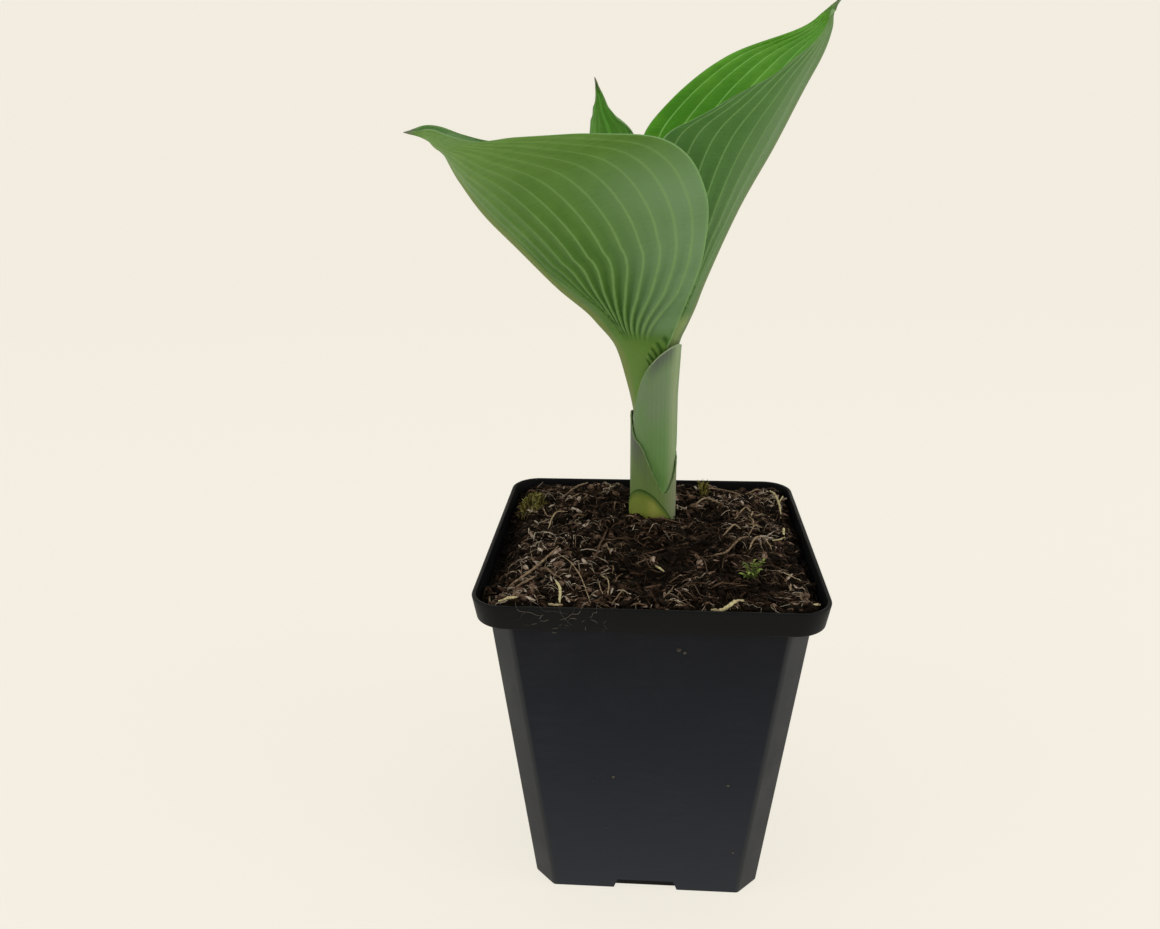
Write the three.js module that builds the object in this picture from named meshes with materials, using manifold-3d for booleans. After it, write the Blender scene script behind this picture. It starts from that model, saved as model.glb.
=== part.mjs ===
// A young hosta shoot in a square nursery pot.
// Millimetres, +Z up. The origin is under the middle of the pot, on the surface that it stands on.
// The pot's front faces -Y and +X is to the right.
import * as THREE from "three";
import { mergeVertices } from "three/addons/utils/BufferGeometryUtils.js";
import Module from "manifold-3d";

const wasm = await Module();
wasm.setup();

// ---------------------------------------------------------------- driving dimensions

// The room between pieces that touch on the real plant.
const GAP = 0.35;

const POT = {
  rimWidth: 90,
  height: 98,
  wall: 0.9,
  waistWidth: 82.3,
  floorWidth: 64.6,
  floorUnderside: 3.4,
  floorTop: 4.4,
  rimCorner: 8.5,
  bodyCut: 5.8,
  collarDrop: 6.8,
  collarTaper: 0.9,
  collarWall: 1.1,
  ledge: 1,
  lipRound: 0.4,
  notchWidth: 19,
  notchTopWidth: 16,
  hubRadius: 8,
  hubSpread: 0.5,
  drainRadius: 3.6,
  drainOffset: 18,
};

const SOIL = { level: 97, mound: 1.7, waviness: 0.5, wallDrop: 1.6, edgeDrop: 0.9, rings: 9, seed: 7 };

// Bark flakes and straws that lie half sunk in the soil. Each range is from the least to the most.
const LITTER = {
  count: 44,
  wallRoom: 6,
  shootRoom: 17,
  sprigRoom: 12,
  flakeShare: 0.55,
  strawLength: [7, 15],
  strawWidth: 1.1,
  flakeLength: [2.5, 5],
  flakeWidth: [1.8, 3.2],
  flakeThickness: 1.5,
  tilt: [-0.18, 0.18],
  rise: 0.25,
};

const SHOOT = { x: 0.7, y: 14, foot: 88, holeRadius: 8.1 };

// The leaves' thickness, and the relief of their veins and midrib. The relief rises over these
// stations, counted from the one where a leaf is fully open, and fades over this share of its length.
const BLADE = {
  thickness: 0.66,
  veinHeight: 0.26,
  keelHeight: 0.7,
  keelWidth: 0.12,
  reliefRise: [-1, 0.5],
  reliefFade: [0.84, 0.95],
  marginPower: 6,
};

// The three bud scales: outside radius, and the height of the mouth at every 30 degrees from +X.
const SCALE = {
  wall: 0.62,
  upper: {
    radius: 5.9,
    swell: 0.85,
    swellOver: [2, 9],
    flare: 0.6,
    flareOver: [134, 151],
    mouth: [150.7, 151, 150, 147, 141, 131, 124.5, 131.5, 142, 147.6, 150.3, 151.2],
  },
  lower: {
    radius: 6.82,
    mouth: [116.5, 120, 122.5, 124.5, 126, 130, 130, 124.5, 121.5, 113.4, 107.5, 111.5],
  },
  base: {
    radius: 7.74,
    mouth: [95, 95, 95, 95.5, 96.5, 98.5, 101.5, 106, 108.3, 109, 105, 98],
  },
};

// The crown's profile gives shares of its radius and of its height, from the bottom up.
const CROWN = {
  radius: 9,
  top: 87.7,
  bottom: 72,
  profile: [[0, 0], [0.55, 0.1], [1, 0.5], [0.9, 0.87], [0.8, 1], [0, 1]],
};

// A root's path gives shares of its reach and of its drop, and the degrees that it swings round.
const ROOT = {
  radius: 1.1,
  count: 6,
  firstAngle: 20,
  level: 0.35,
  reach: 24,
  drop: 46,
  path: [[0.17, 0, 0], [0.6, 0.09, 8], [1, 0.39, 20], [0.95, 1, 38]],
};

// Small plants on the soil: where each stands, and the number, length and width of its leaves.
const SPRIGS = [
  { name: "weed_sprig", x: 26.5, y: -25.5, leaves: 7, length: 9, width: 2.6, lift: 38, color: 0x55702e },
  { name: "moss_left", x: -35.5, y: 22, leaves: 9, length: 5.5, width: 1.5, lift: 50, color: 0x8a9130 },
  { name: "moss_back", x: 16.4, y: 33, leaves: 8, length: 5, width: 1.4, lift: 52, color: 0x8a9130 },
];

const SPRIG_STEM = { radius: 1.1, height: 0.9, depth: 3 };

// A sprig's leaf gives shares of its length, of its width and of its thickness, from root to tip.
const SPRIG_LEAF = {
  thickness: 0.7,
  droop: 0.6,
  turn: 137.5,
  shrink: 0.28,
  fan: 9,
  sections: [[-0.15, 0.5, 1], [0.3, 1, 1], [0.7, 0.8, 1], [1, 0.12, 0.7]],
};

const COLOR = {
  plastic: 0x26262a,
  soil: 0x2a1f17,
  root: 0xd8c9a0,
  leafUnder: 0x5c7d3c,
  leafInner: 0x4a8a30,
  sheath: 0x6c8560,
  baseScale: 0x7d8a35,
};

// ---------------------------------------------------------------- small helpers

const FULL_TURN = 2 * Math.PI;

const QUARTER_TURN = Math.PI / 2;

const vec = (x, y, z) => new THREE.Vector3(x, y, z);

const degrees = THREE.MathUtils.degToRad;

const mix = THREE.MathUtils.lerp;

const ease = THREE.MathUtils.smoothstep;

const wrap = THREE.MathUtils.euclideanModulo;

// Evenly spread numbers from 0 to 1, the same on every run.
function randomSource(seed) {
  const [factor, modulus] = [16807, 2147483647];
  let state = seed;
  return () => {
    state = (state * factor) % modulus;
    return state / modulus;
  };
}

// A closed body from points and triangles, as a three.js geometry.
function bodyFrom(points, triangles) {
  const geometry = new THREE.BufferGeometry().setFromPoints(points);
  geometry.setIndex(triangles.flat());
  geometry.computeVertexNormals();
  return geometry;
}

function toSolid(geometry) {
  const bare = geometry.clone();
  bare.deleteAttribute("normal");
  bare.deleteAttribute("uv");
  const merged = mergeVertices(bare);
  const vertProperties = new Float32Array(merged.attributes.position.array);
  const triVerts = new Uint32Array(merged.index.array);
  return new wasm.Manifold(new wasm.Mesh({ numProp: 3, vertProperties, triVerts }));
}

function toGeometry(solid) {
  const mesh = solid.getMesh();
  const geometry = new THREE.BufferGeometry();
  geometry.setAttribute("position", new THREE.BufferAttribute(new Float32Array(mesh.vertProperties), 3));
  geometry.setIndex(new THREE.BufferAttribute(new Uint32Array(mesh.triVerts), 1));
  geometry.computeVertexNormals();
  return geometry;
}

// Rings of equal length, joined one to the next and closed at both ends by a fan.
function loft(rings) {
  const points = rings.flat();
  const count = rings[0].length;
  const triangles = [];
  for (let ring = 0; ring < rings.length - 1; ring += 1) {
    for (let i = 0; i < count; i += 1) {
      const a = ring * count + i;
      const b = ring * count + ((i + 1) % count);
      triangles.push([a, b, b + count], [a, b + count, a + count]);
    }
  }
  const middle = (ring) => ring.reduce((sum, p) => sum.add(p), vec(0, 0, 0)).divideScalar(count);
  const start = points.push(middle(rings[0])) - 1;
  const end = points.push(middle(rings.at(-1))) - 1;
  const last = (rings.length - 1) * count;
  for (let i = 0; i < count; i += 1) {
    const next = (i + 1) % count;
    triangles.push([start, next, i], [end, last + i, last + next]);
  }
  return bodyFrom(points, triangles);
}

// Even shares from 0 to 1, with both ends.
const shares = (count) => Array.from({ length: count + 1 }, (_, step) => step / count);

// A square outline at one height: the points of one corner and of the straight side that follows
// it, four times over. The side lies this far out, and reaches this far to either hand.
function squareOutline(corner, half, reach, z, stepsPerSide) {
  const side = shares(stepsPerSide).slice(1, -1).map((share) => [mix(reach, -reach, share), half]);
  const quarter = [...corner, ...side];
  const turned = (turn) => quarter.map(([x, y]) => vec(x, y, z).applyAxisAngle(vec(0, 0, 1), turn));
  return [0, 1, 2, 3].flatMap((turns) => turned(turns * QUARTER_TURN));
}

function roundedSquare(half, radius, z, stepsPerCorner = 4, stepsPerSide = 1) {
  const centre = half - radius;
  const angles = shares(stepsPerCorner).map((share) => share * QUARTER_TURN);
  const corner = angles.map((turn) => [centre + radius * Math.cos(turn), centre + radius * Math.sin(turn)]);
  return squareOutline(corner, half, centre, z, stepsPerSide);
}

// The corners are cut off straight, and each cut reaches this far along its two sides.
function cutSquare(half, cut, z, stepsPerCorner = 4, stepsPerSide = 1) {
  const start = half - cut;
  const corner = shares(stepsPerCorner).map((share) => [mix(half, start, share), mix(start, half, share)]);
  return squareOutline(corner, half, start, z, stepsPerSide);
}

// An upright cylinder from one height to another.
function post(radius, bottom, top, sides, footRadius = radius) {
  const cylinder = new THREE.CylinderGeometry(radius, footRadius, top - bottom, sides);
  return cylinder.rotateX(QUARTER_TURN).translate(0, 0, (bottom + top) / 2);
}

// ---------------------------------------------------------------- pot

// The collar stands out from the walls from this height up.
const collarFoot = POT.height - POT.collarDrop;

// Half the width of the pot's walls, measured outside, at a height.
const wallHalf = (z) => mix(POT.floorWidth, POT.waistWidth, z / collarFoot) / 2;

// The outline of the pot's walls at a height, this far in from the outside. Moving a straight cut
// inwards shortens it less than the sides.
function wallRing(z, inset, ...steps) {
  const cut = POT.bodyCut - inset * (2 - Math.SQRT2);
  return cutSquare(wallHalf(z) - inset, cut, z, ...steps);
}

function collarRing(z, inset, ...steps) {
  const share = (z - collarFoot) / (POT.collarDrop - POT.lipRound);
  const half = POT.rimWidth / 2 - POT.collarTaper * (1 - Math.min(share, 1));
  return roundedSquare(half - inset, POT.rimCorner - inset, z, ...steps);
}

// One closed profile: up the outside, over the collar and down the inside to the floor.
function potShell() {
  const { height, wall, collarWall, lipRound } = POT;
  const lipFoot = height - lipRound;
  const ledgeTop = collarFoot + POT.ledge;
  const innerFoot = wallRing(0, wall).map(({ x, y }) => vec(x, y, POT.floorUnderside));
  return loft([
    innerFoot,
    wallRing(0, wall),
    wallRing(0, 0),
    wallRing(collarFoot, 0),
    collarRing(collarFoot, 0),
    collarRing(lipFoot, 0),
    collarRing(height, lipRound),
    collarRing(height, collarWall - lipRound),
    collarRing(lipFoot, collarWall),
    collarRing(ledgeTop, collarWall),
    wallRing(ledgeTop, wall),
    wallRing(POT.floorTop, wall),
  ]);
}

// The notch in the middle of a bottom edge, as a bar right through the foot of the pot.
function notchBar() {
  const [foot, top] = [POT.notchWidth / 2, POT.notchTopWidth / 2];
  const outline = new THREE.Shape();
  outline.moveTo(-foot, -POT.wall);
  outline.lineTo(foot, -POT.wall);
  outline.lineTo(top, POT.floorUnderside);
  outline.lineTo(-top, POT.floorUnderside);
  const bar = new THREE.ExtrudeGeometry(outline, { depth: POT.rimWidth, bevelEnabled: false });
  return bar.translate(0, 0, -POT.rimWidth / 2).rotateX(QUARTER_TURN);
}

function drainHole(angle) {
  const hole = post(POT.drainRadius, 0, 2 * POT.floorTop, 12);
  return hole.translate(POT.drainOffset * Math.cos(angle), POT.drainOffset * Math.sin(angle), 0);
}

// The round foot under the middle of the floor, level with the corner feet.
function hub() {
  const insideFloor = mix(POT.floorUnderside, POT.floorTop, 0.5);
  return post(POT.hubRadius, 0, insideFloor, 20, POT.hubRadius + POT.hubSpread);
}

function potGeometry() {
  let solid = toSolid(potShell());
  for (const turn of [0, QUARTER_TURN]) {
    solid = solid.subtract(toSolid(notchBar().rotateZ(turn)));
  }
  for (let index = 0; index < 4; index += 1) {
    solid = solid.subtract(toSolid(drainHole((index + 0.5) * QUARTER_TURN)));
  }
  return toGeometry(solid.add(toSolid(hub())));
}

// ---------------------------------------------------------------- curves and thin sheets

// Evenly numbered stations, joined by one smooth curve.
function smoothThrough(points) {
  const curve = new THREE.CatmullRomCurve3(points, false, "catmullrom", 0.5);
  return (u) => curve.getPoint(u);
}

// A height for every angle round the shoot, from heights at equal steps of angle.
function mouthThrough(heights) {
  const points = heights.map((height, index) => vec(index, 0, height));
  const curve = new THREE.CatmullRomCurve3(points, true, "catmullrom", 0.5);
  return (angle) => curve.getPoint(wrap(angle / FULL_TURN, 1)).z;
}

// Closes two matching grids into one body, the first facing out. Both are split into triangles
// alike. A grid that wraps has no side edges, and a pointed one ends in a single point.
function closeGrids(first, second, { wraps = false, pointed = false } = {}) {
  const rows = first.length;
  const columns = first[0].length;
  const across = wraps ? columns : columns - 1;
  const back = rows * columns;
  const triangles = [];
  const corner = (side, row, column) => {
    const isTip = pointed && row === rows - 1;
    return isTip ? back - 1 : side + row * columns + (column % columns);
  };
  const add = (a, b, c) => {
    if (a !== b && b !== c && c !== a) {
      triangles.push([a, b, c]);
    }
  };
  const strip = (row, column, nextRow, nextColumn) => {
    const [a, b] = [corner(0, row, column), corner(0, nextRow, nextColumn)];
    const [c, d] = [corner(back, nextRow, nextColumn), corner(back, row, column)];
    add(b, a, d);
    add(b, d, c);
  };
  for (let row = 0; row < rows - 1; row += 1) {
    for (let column = 0; column < across; column += 1) {
      for (const side of [0, back]) {
        const [a, b] = [corner(side, row, column), corner(side, row, column + 1)];
        const [c, d] = [corner(side, row + 1, column + 1), corner(side, row + 1, column)];
        const [p, q] = side === 0 ? [b, d] : [d, b];
        add(a, p, c);
        add(a, c, q);
      }
    }
    if (!wraps) {
      strip(row + 1, 0, row, 0);
      strip(row, columns - 1, row + 1, columns - 1);
    }
  }
  for (let column = 0; column < across; column += 1) {
    strip(0, column, 0, column + 1);
    strip(rows - 1, column + 1, rows - 1, column);
  }
  return mergeVertices(bodyFrom([...first.flat(), ...second.flat()], triangles));
}

// ---------------------------------------------------------------- leaves

// A point on the shoot, by its distance and direction from the shoot's own axis.
function shootPoint(radius, angle, z) {
  return vec(SHOOT.x + radius * Math.cos(angle), SHOOT.y + radius * Math.sin(angle), z);
}

// A station of a stalk that is rolled round the shoot: its midrib and its two margins.
function rolledStation(radius, ribAngle, sweep, z) {
  const at = (angle) => shootPoint(radius, degrees(angle), z);
  return [at(ribAngle), at(ribAngle + sweep), at(ribAngle - sweep)];
}

// A point on the arc round the shoot's axis, from the midrib (k = 0) to a margin (k = 1).
function rolledPoint(rib, margin, k) {
  const angleOf = (p) => Math.atan2(p.y - SHOOT.y, p.x - SHOOT.x);
  const radiusOf = (p) => Math.hypot(p.x - SHOOT.x, p.y - SHOOT.y);
  const turn = wrap(angleOf(margin) - angleOf(rib) + Math.PI, FULL_TURN) - Math.PI;
  const radius = mix(radiusOf(margin), radiusOf(rib), (1 - k) ** 4);
  return shootPoint(radius, angleOf(rib) + turn * k, mix(rib.z, margin.z, k * k));
}

// A point on the open blade: a curve that leaves the midrib sideways and ends on the margin.
function bladePoint(rib, margin, along, open, k, leaf) {
  const side = along.clone().cross(open).normalize();
  const reach = margin.clone().sub(rib);
  const sideways = side.multiplyScalar(reach.dot(side));
  const inward = reach.sub(sideways);
  const pull = rib.clone().addScaledVector(sideways, leaf.roundness).addScaledVector(inward, leaf.flatness);
  const point = rib.clone().multiplyScalar((1 - k) ** 2);
  return point.addScaledVector(pull, 2 * k * (1 - k)).addScaledVector(margin, k * k);
}

// The middle surface of a leaf. u runs along it, and s from one margin (-1) to the other (1).
function leafSurface(leaf) {
  const rail = (index) => smoothThrough(leaf.stations.map((station) => station[index]));
  const [midrib, near, far] = [rail(0), rail(1), rail(2)];
  const last = leaf.stations.length - 1;
  const step = 0.01;
  return (u, s) => {
    const rib = midrib(u);
    const margin = s >= 0 ? near(u) : far(u);
    const open = near(u).add(far(u)).multiplyScalar(0.5).sub(rib);
    const along = midrib(Math.min(u + step, 1)).sub(midrib(Math.max(u - step, 0))).normalize();
    const k = Math.abs(s);
    const opened = ease(u * last, leaf.opensFrom, leaf.opensTo);
    return rolledPoint(rib, margin, k).lerp(bladePoint(rib, margin, along, open, k, leaf), opened);
  };
}

// The direction that the surface faces, from two short steps over it.
function normalAt(surface, u, s) {
  const step = 0.002;
  const alongU = surface(Math.min(u + step, 1), s).sub(surface(Math.max(u - step, 0), s));
  const alongS = surface(u, Math.min(s + step, 1)).sub(surface(u, Math.max(s - step, -1)));
  return alongU.cross(alongS).normalize();
}

// How strongly the veins stand out at a place along a leaf, from 0 to 1.
function reliefAt(leaf, u) {
  const [start, end] = BLADE.reliefRise.map((offset) => leaf.opensTo + offset);
  const rise = ease(u * (leaf.stations.length - 1), start, end);
  return rise * (1 - ease(u, ...BLADE.reliefFade));
}

// A leaf as a thin body, with its veins as ridges and a keel along the outside of its midrib.
function leafGeometry(leaf) {
  const surface = leafSurface(leaf);
  const tip = surface(1, 0);
  const sheetAt = (side) => {
    const sheet = [];
    for (let row = 0; row < leaf.rows; row += 1) {
      const u = row / leaf.rows;
      const relief = reliefAt(leaf, u);
      const line = [];
      for (let column = 0; column <= leaf.columns; column += 1) {
        const s = (2 * column) / leaf.columns - 1;
        const ridge = Math.cos(Math.PI * column) * (1 - Math.abs(s) ** BLADE.marginPower);
        const vein = BLADE.veinHeight * relief * ridge;
        const hump = BLADE.keelHeight * relief * Math.exp(-((s / BLADE.keelWidth) ** 2));
        const keel = side === leaf.outside ? hump : 0;
        const offset = side * (BLADE.thickness / 2 + keel) + vein;
        line.push(surface(u, s).addScaledVector(normalAt(surface, u, s), offset));
      }
      sheet.push(line);
    }
    sheet.push(Array.from({ length: leaf.columns + 1 }, () => tip.clone()));
    return sheet;
  };
  return closeGrids(sheetAt(-1), sheetAt(1), { pointed: true });
}

// Each station gives three points: on the midrib, on one margin and on the other.
function leftLeaf() {
  const stalk = (z) => rolledStation(4.6, 180, 150, z);
  const tip = vec(-71, 29, 207.6);
  return {
    rows: 27,
    columns: 28,
    outside: -1,
    roundness: 0.9,
    flatness: 0.15,
    opensFrom: 3.6,
    opensTo: 6,
    stations: [
      stalk(SHOOT.foot),
      stalk(108),
      stalk(122),
      [vec(-4.7, 14, 131.5), vec(4.6, 10.6, 132.5), vec(3.9, 17.2, 132.5)],
      [vec(-7.2, 14.3, 140), vec(4.3, 10.1, 141.5), vec(4, 17.5, 141.5)],
      [vec(-10.5, 15, 150), vec(4.1, 9.3, 150), vec(3.8, 18.5, 149.6)],
      [vec(-16.4, 16.3, 158.4), vec(8, 3.3, 162), vec(7, 26, 161)],
      [vec(-26.4, 18, 166.5), vec(12.6, -3, 178), vec(10, 35, 174)],
      [vec(-37.4, 20.5, 176.8), vec(12.2, -8, 194), vec(8, 41, 189)],
      [vec(-47.3, 22.8, 186.2), vec(2.1, -10.5, 205.5), vec(-3, 43.5, 201)],
      [vec(-54.2, 25, 195.1), vec(-22, -7.5, 206.9), vec(-25, 43, 203.8)],
      [vec(-59.3, 27, 203.2), vec(-45.5, 4.5, 205.3), vec(-50, 38.5, 206.8)],
      [vec(-65, 28.4, 206.2), vec(-61.5, 24, 208), vec(-63, 32, 209.4)],
      [tip, tip, tip],
    ],
  };
}

function rightLeaf() {
  const stalk = (sweep, z) => rolledStation(3.6, 0, sweep, z);
  const tip = vec(49.2, 30, 240.8);
  return {
    rows: 27,
    columns: 28,
    outside: 1,
    roundness: 0.9,
    flatness: 0.15,
    opensFrom: 3.4,
    opensTo: 6,
    stations: [
      stalk(-150, SHOOT.foot),
      stalk(-150, 108),
      stalk(-150, 122),
      stalk(-125, 136),
      [vec(6.7, 14, 150.5), vec(1.2, 10.7, 151), vec(1.2, 17.3, 151)],
      [vec(8.8, 14.1, 157), vec(1, 8.8, 158), vec(0.6, 20.4, 158)],
      [vec(12.8, 15, 167.6), vec(0.3, 6, 166), vec(-0.5, 25, 167)],
      [vec(22.1, 18.8, 187.2), vec(-1.9, 1.8, 185.7), vec(-4.5, 33, 184)],
      [vec(31.1, 22.9, 203), vec(2.5, 3, 204.2), vec(-5.2, 38, 205)],
      [vec(38.3, 26, 216.9), vec(14.2, 8.1, 212.2), vec(4.3, 41, 215.5)],
      [vec(43.2, 28, 226), vec(27.5, 16, 218.9), vec(19.6, 40.5, 226.6)],
      [vec(45.4, 29.1, 232.2), vec(41, 24.5, 227.6), vec(38.4, 35.6, 232.9)],
      [vec(46.2, 29.8, 236.2), vec(45.8, 29.2, 235.8), vec(44.2, 30.8, 236.7)],
      [tip, tip, tip],
    ],
  };
}

function innerLeaf() {
  const stalk = (z) => rolledStation(2.5, 90, 150, z);
  const tip = vec(-16.2, 18, 220.8);
  return {
    rows: 22,
    columns: 14,
    outside: -1,
    roundness: 1,
    flatness: 0.1,
    opensFrom: 2.2,
    opensTo: 3.6,
    stations: [
      stalk(SHOOT.foot),
      stalk(112),
      stalk(134),
      [vec(-0.7, 16.5, 152), vec(-2.1, 12, 152), vec(0.7, 12, 152)],
      [vec(-5, 21, 176), vec(-7.5, 13.5, 176), vec(-1, 13.5, 176)],
      [vec(-10.5, 22.5, 197), vec(-16.5, 13.5, 198), vec(-3, 13.5, 198)],
      [vec(-12.5, 21, 207), vec(-17.2, 14, 207), vec(-6, 14.5, 206.5)],
      [vec(-14.3, 19.8, 212), vec(-16.6, 15.5, 212), vec(-11.4, 15.8, 211.5)],
      [vec(-15.2, 18.8, 216.5), vec(-15.7, 17, 216.3), vec(-14, 17, 216.2)],
      [tip, tip, tip],
    ],
  };
}

// ---------------------------------------------------------------- bud scales round the shoot

// A closed sleeve with a slanted mouth. radiusAt gives its outside radius for an angle and a height.
function sleeveGeometry(mouth, radiusAt, rows) {
  const columns = 24;
  const sheetAt = (inset) => {
    const sheet = [];
    for (let row = 0; row <= rows; row += 1) {
      const line = [];
      for (let column = 0; column < columns; column += 1) {
        const angle = (column / columns) * FULL_TURN;
        const z = mix(SHOOT.foot, mouth(angle), row / rows);
        line.push(shootPoint(radiusAt(angle, z) - inset, angle, z));
      }
      sheet.push(line);
    }
    return sheet;
  };
  return closeGrids(sheetAt(0), sheetAt(SCALE.wall), { wraps: true });
}

// The upper scale swells to the shoot's full width where it comes out of the lower one.
function upperScale() {
  const { upper, lower } = SCALE;
  const lowerMouth = mouthThrough(lower.mouth);
  const swell = (angle, z) => upper.swell * ease(z - lowerMouth(angle), ...upper.swellOver);
  const flare = (z) => upper.flare * ease(z, ...upper.flareOver);
  const radiusAt = (angle, z) => upper.radius + swell(angle, z) + flare(z);
  return sleeveGeometry(mouthThrough(upper.mouth), radiusAt, 14);
}

const lowerScale = () => sleeveGeometry(mouthThrough(SCALE.lower.mouth), () => SCALE.lower.radius, 6);

const baseScale = () => sleeveGeometry(mouthThrough(SCALE.base.mouth), () => SCALE.base.radius, 4);

// ---------------------------------------------------------------- crown and roots

function crownBody(growth) {
  const { radius, top, bottom } = CROWN;
  const profile = CROWN.profile.map(([out, up]) => {
    const reach = out > 0 ? out * radius + growth : 0;
    return new THREE.Vector2(reach, mix(bottom - growth, top + growth, up));
  });
  const lathe = new THREE.LatheGeometry(profile, 16);
  return lathe.rotateX(QUARTER_TURN).translate(SHOOT.x, SHOOT.y, 0);
}

// One cord-like root, from inside the crown outwards and down, towards the middle of the pot.
function rootBody(index, growth) {
  const firstTurn = degrees(ROOT.firstAngle) + (FULL_TURN / ROOT.count) * index;
  const start = mix(CROWN.bottom, CROWN.top, ROOT.level);
  const points = ROOT.path.map(([out, down, swing]) => {
    const turn = firstTurn + degrees(swing);
    const reach = out * ROOT.reach;
    const middle = vec(SHOOT.x, SHOOT.y * (1 - down), start - down * (ROOT.drop + growth));
    return middle.add(vec(reach * Math.cos(turn), reach * Math.sin(turn), 0));
  });
  const radius = ROOT.radius + growth;
  const sides = 6;
  const turns = Array.from({ length: sides }, (_, side) => (side / sides) * FULL_TURN);
  const corner = (turn) => new THREE.Vector2(radius * Math.cos(turn), radius * Math.sin(turn));
  const outline = turns.map(corner);
  const extrudePath = new THREE.CatmullRomCurve3(points);
  return new THREE.ExtrudeGeometry(new THREE.Shape(outline), { steps: 7, extrudePath });
}

// The crown with its roots. Growth makes the same body larger, for the room it takes in the soil.
function crownSolid(growth) {
  let solid = toSolid(crownBody(growth));
  for (let index = 0; index < ROOT.count; index += 1) {
    solid = solid.add(toSolid(rootBody(index, growth)));
  }
  return solid;
}

// ---------------------------------------------------------------- soil and what grows on it

// The lie of the soil: a low mound with small waves.
function soilHeight(x, y) {
  const spread = Math.hypot(x, y) / (POT.rimWidth / 2);
  const waves = Math.sin(x * 0.33 + 1) * Math.cos(y * 0.29) + 0.6 * Math.sin(x * 0.71 - y * 0.53 + 2);
  return SOIL.level + SOIL.mound * (1 - Math.min(spread, 1) ** 2) + SOIL.waviness * waves;
}

// The soil fills the walls, steps out over their ledge and fills the collar.
function soilBody() {
  const steps = [3, 5];
  const foot = POT.floorTop + GAP;
  const overLedge = collarFoot + POT.ledge + GAP;
  const edge = SOIL.level - SOIL.wallDrop;
  const rings = [
    wallRing(foot, POT.wall + GAP, ...steps),
    wallRing(overLedge, POT.wall + GAP, ...steps),
    collarRing(overLedge, POT.collarWall + GAP, ...steps),
    collarRing(edge, POT.collarWall + GAP, ...steps),
  ];
  const outline = rings.at(-1);
  for (let step = 0; step < SOIL.rings; step += 1) {
    const scale = 1 - step / SOIL.rings;
    const drop = step === 0 ? SOIL.edgeDrop : 0;
    const spots = outline.map(({ x, y }) => [x * scale, y * scale]);
    rings.push(spots.map(([x, y]) => vec(x, y, soilHeight(x, y) - drop)));
  }
  return loft(rings);
}

// A flake of bark or a bit of straw, with the place where it lies.
function litterPiece(random) {
  const between = ([least, most]) => mix(least, most, random());
  const reach = POT.waistWidth / 2 - LITTER.wallRoom;
  const x = between([-reach, reach]);
  const y = between([-reach, reach]);
  const isFlake = random() < LITTER.flakeShare;
  const length = between(isFlake ? LITTER.flakeLength : LITTER.strawLength);
  const width = isFlake ? between(LITTER.flakeWidth) : LITTER.strawWidth;
  const thickness = isFlake ? LITTER.flakeThickness : LITTER.strawWidth;
  const piece = new THREE.BoxGeometry(length, width, thickness);
  piece.rotateY(between(LITTER.tilt)).rotateZ(between([0, Math.PI]));
  return { x, y, body: piece.translate(x, y, soilHeight(x, y) + LITTER.rise) };
}

// One small leaf, a thin pointed body that rises from the stem at an angle and bends over.
function sprigLeaf(length, width, lift) {
  const rings = SPRIG_LEAF.sections.map(([out, breadth, depth]) => {
    const angle = degrees(lift) * (1 - SPRIG_LEAF.droop * out);
    const centre = vec(Math.cos(angle), 0, Math.sin(angle)).multiplyScalar(out * length);
    const side = (width / 2) * breadth;
    const up = (SPRIG_LEAF.thickness / 2) * depth;
    const corners = [vec(0, 0, -up), vec(0, side, 0), vec(0, 0, up), vec(0, -side, 0)];
    return corners.map((offset) => offset.add(centre));
  });
  return loft(rings);
}

function sprigGeometry(sprig) {
  const { radius, height, depth } = SPRIG_STEM;
  let solid = toSolid(post(radius, -depth, height, 8));
  for (let index = 0; index < sprig.leaves; index += 1) {
    const scale = 1 - SPRIG_LEAF.shrink * (index % 3);
    const lift = sprig.lift + SPRIG_LEAF.fan * (index % 4);
    const leaf = sprigLeaf(sprig.length * scale, sprig.width * scale, lift);
    leaf.rotateZ(degrees(SPRIG_LEAF.turn) * index).translate(0, 0, height / 2);
    solid = solid.add(toSolid(leaf));
  }
  return toGeometry(solid).translate(sprig.x, sprig.y, soilHeight(sprig.x, sprig.y) + height);
}

// A hole that is open at the top.
function roundHole(x, y, radius, bottom) {
  return toSolid(post(radius, bottom, POT.height + SPRIG_STEM.depth, 24).translate(x, y, 0));
}

function soilGeometry() {
  let solid = toSolid(soilBody());
  const random = randomSource(SOIL.seed);
  const clearOf = (x, y, spot, distance) => Math.hypot(x - spot.x, y - spot.y) > distance;
  for (let index = 0; index < LITTER.count; index += 1) {
    const { x, y, body } = litterPiece(random);
    const clearOfSprigs = SPRIGS.every((sprig) => clearOf(x, y, sprig, LITTER.sprigRoom));
    if (clearOfSprigs && clearOf(x, y, SHOOT, LITTER.shootRoom)) {
      solid = solid.add(toSolid(body));
    }
  }
  for (const { x, y } of SPRIGS) {
    const stemFoot = soilHeight(x, y) + SPRIG_STEM.height - SPRIG_STEM.depth;
    solid = solid.subtract(roundHole(x, y, SPRIG_STEM.radius + GAP, stemFoot - GAP));
  }
  solid = solid.subtract(roundHole(SHOOT.x, SHOOT.y, SHOOT.holeRadius, CROWN.top));
  return toGeometry(solid.subtract(crownSolid(GAP)));
}

// ---------------------------------------------------------------- the whole plant

const plant = new THREE.Group();

function place(name, geometry, color, roughness) {
  const material = new THREE.MeshStandardMaterial({ color, roughness, metalness: 0 });
  const mesh = new THREE.Mesh(geometry, material);
  mesh.name = name;
  plant.add(mesh);
}

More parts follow.
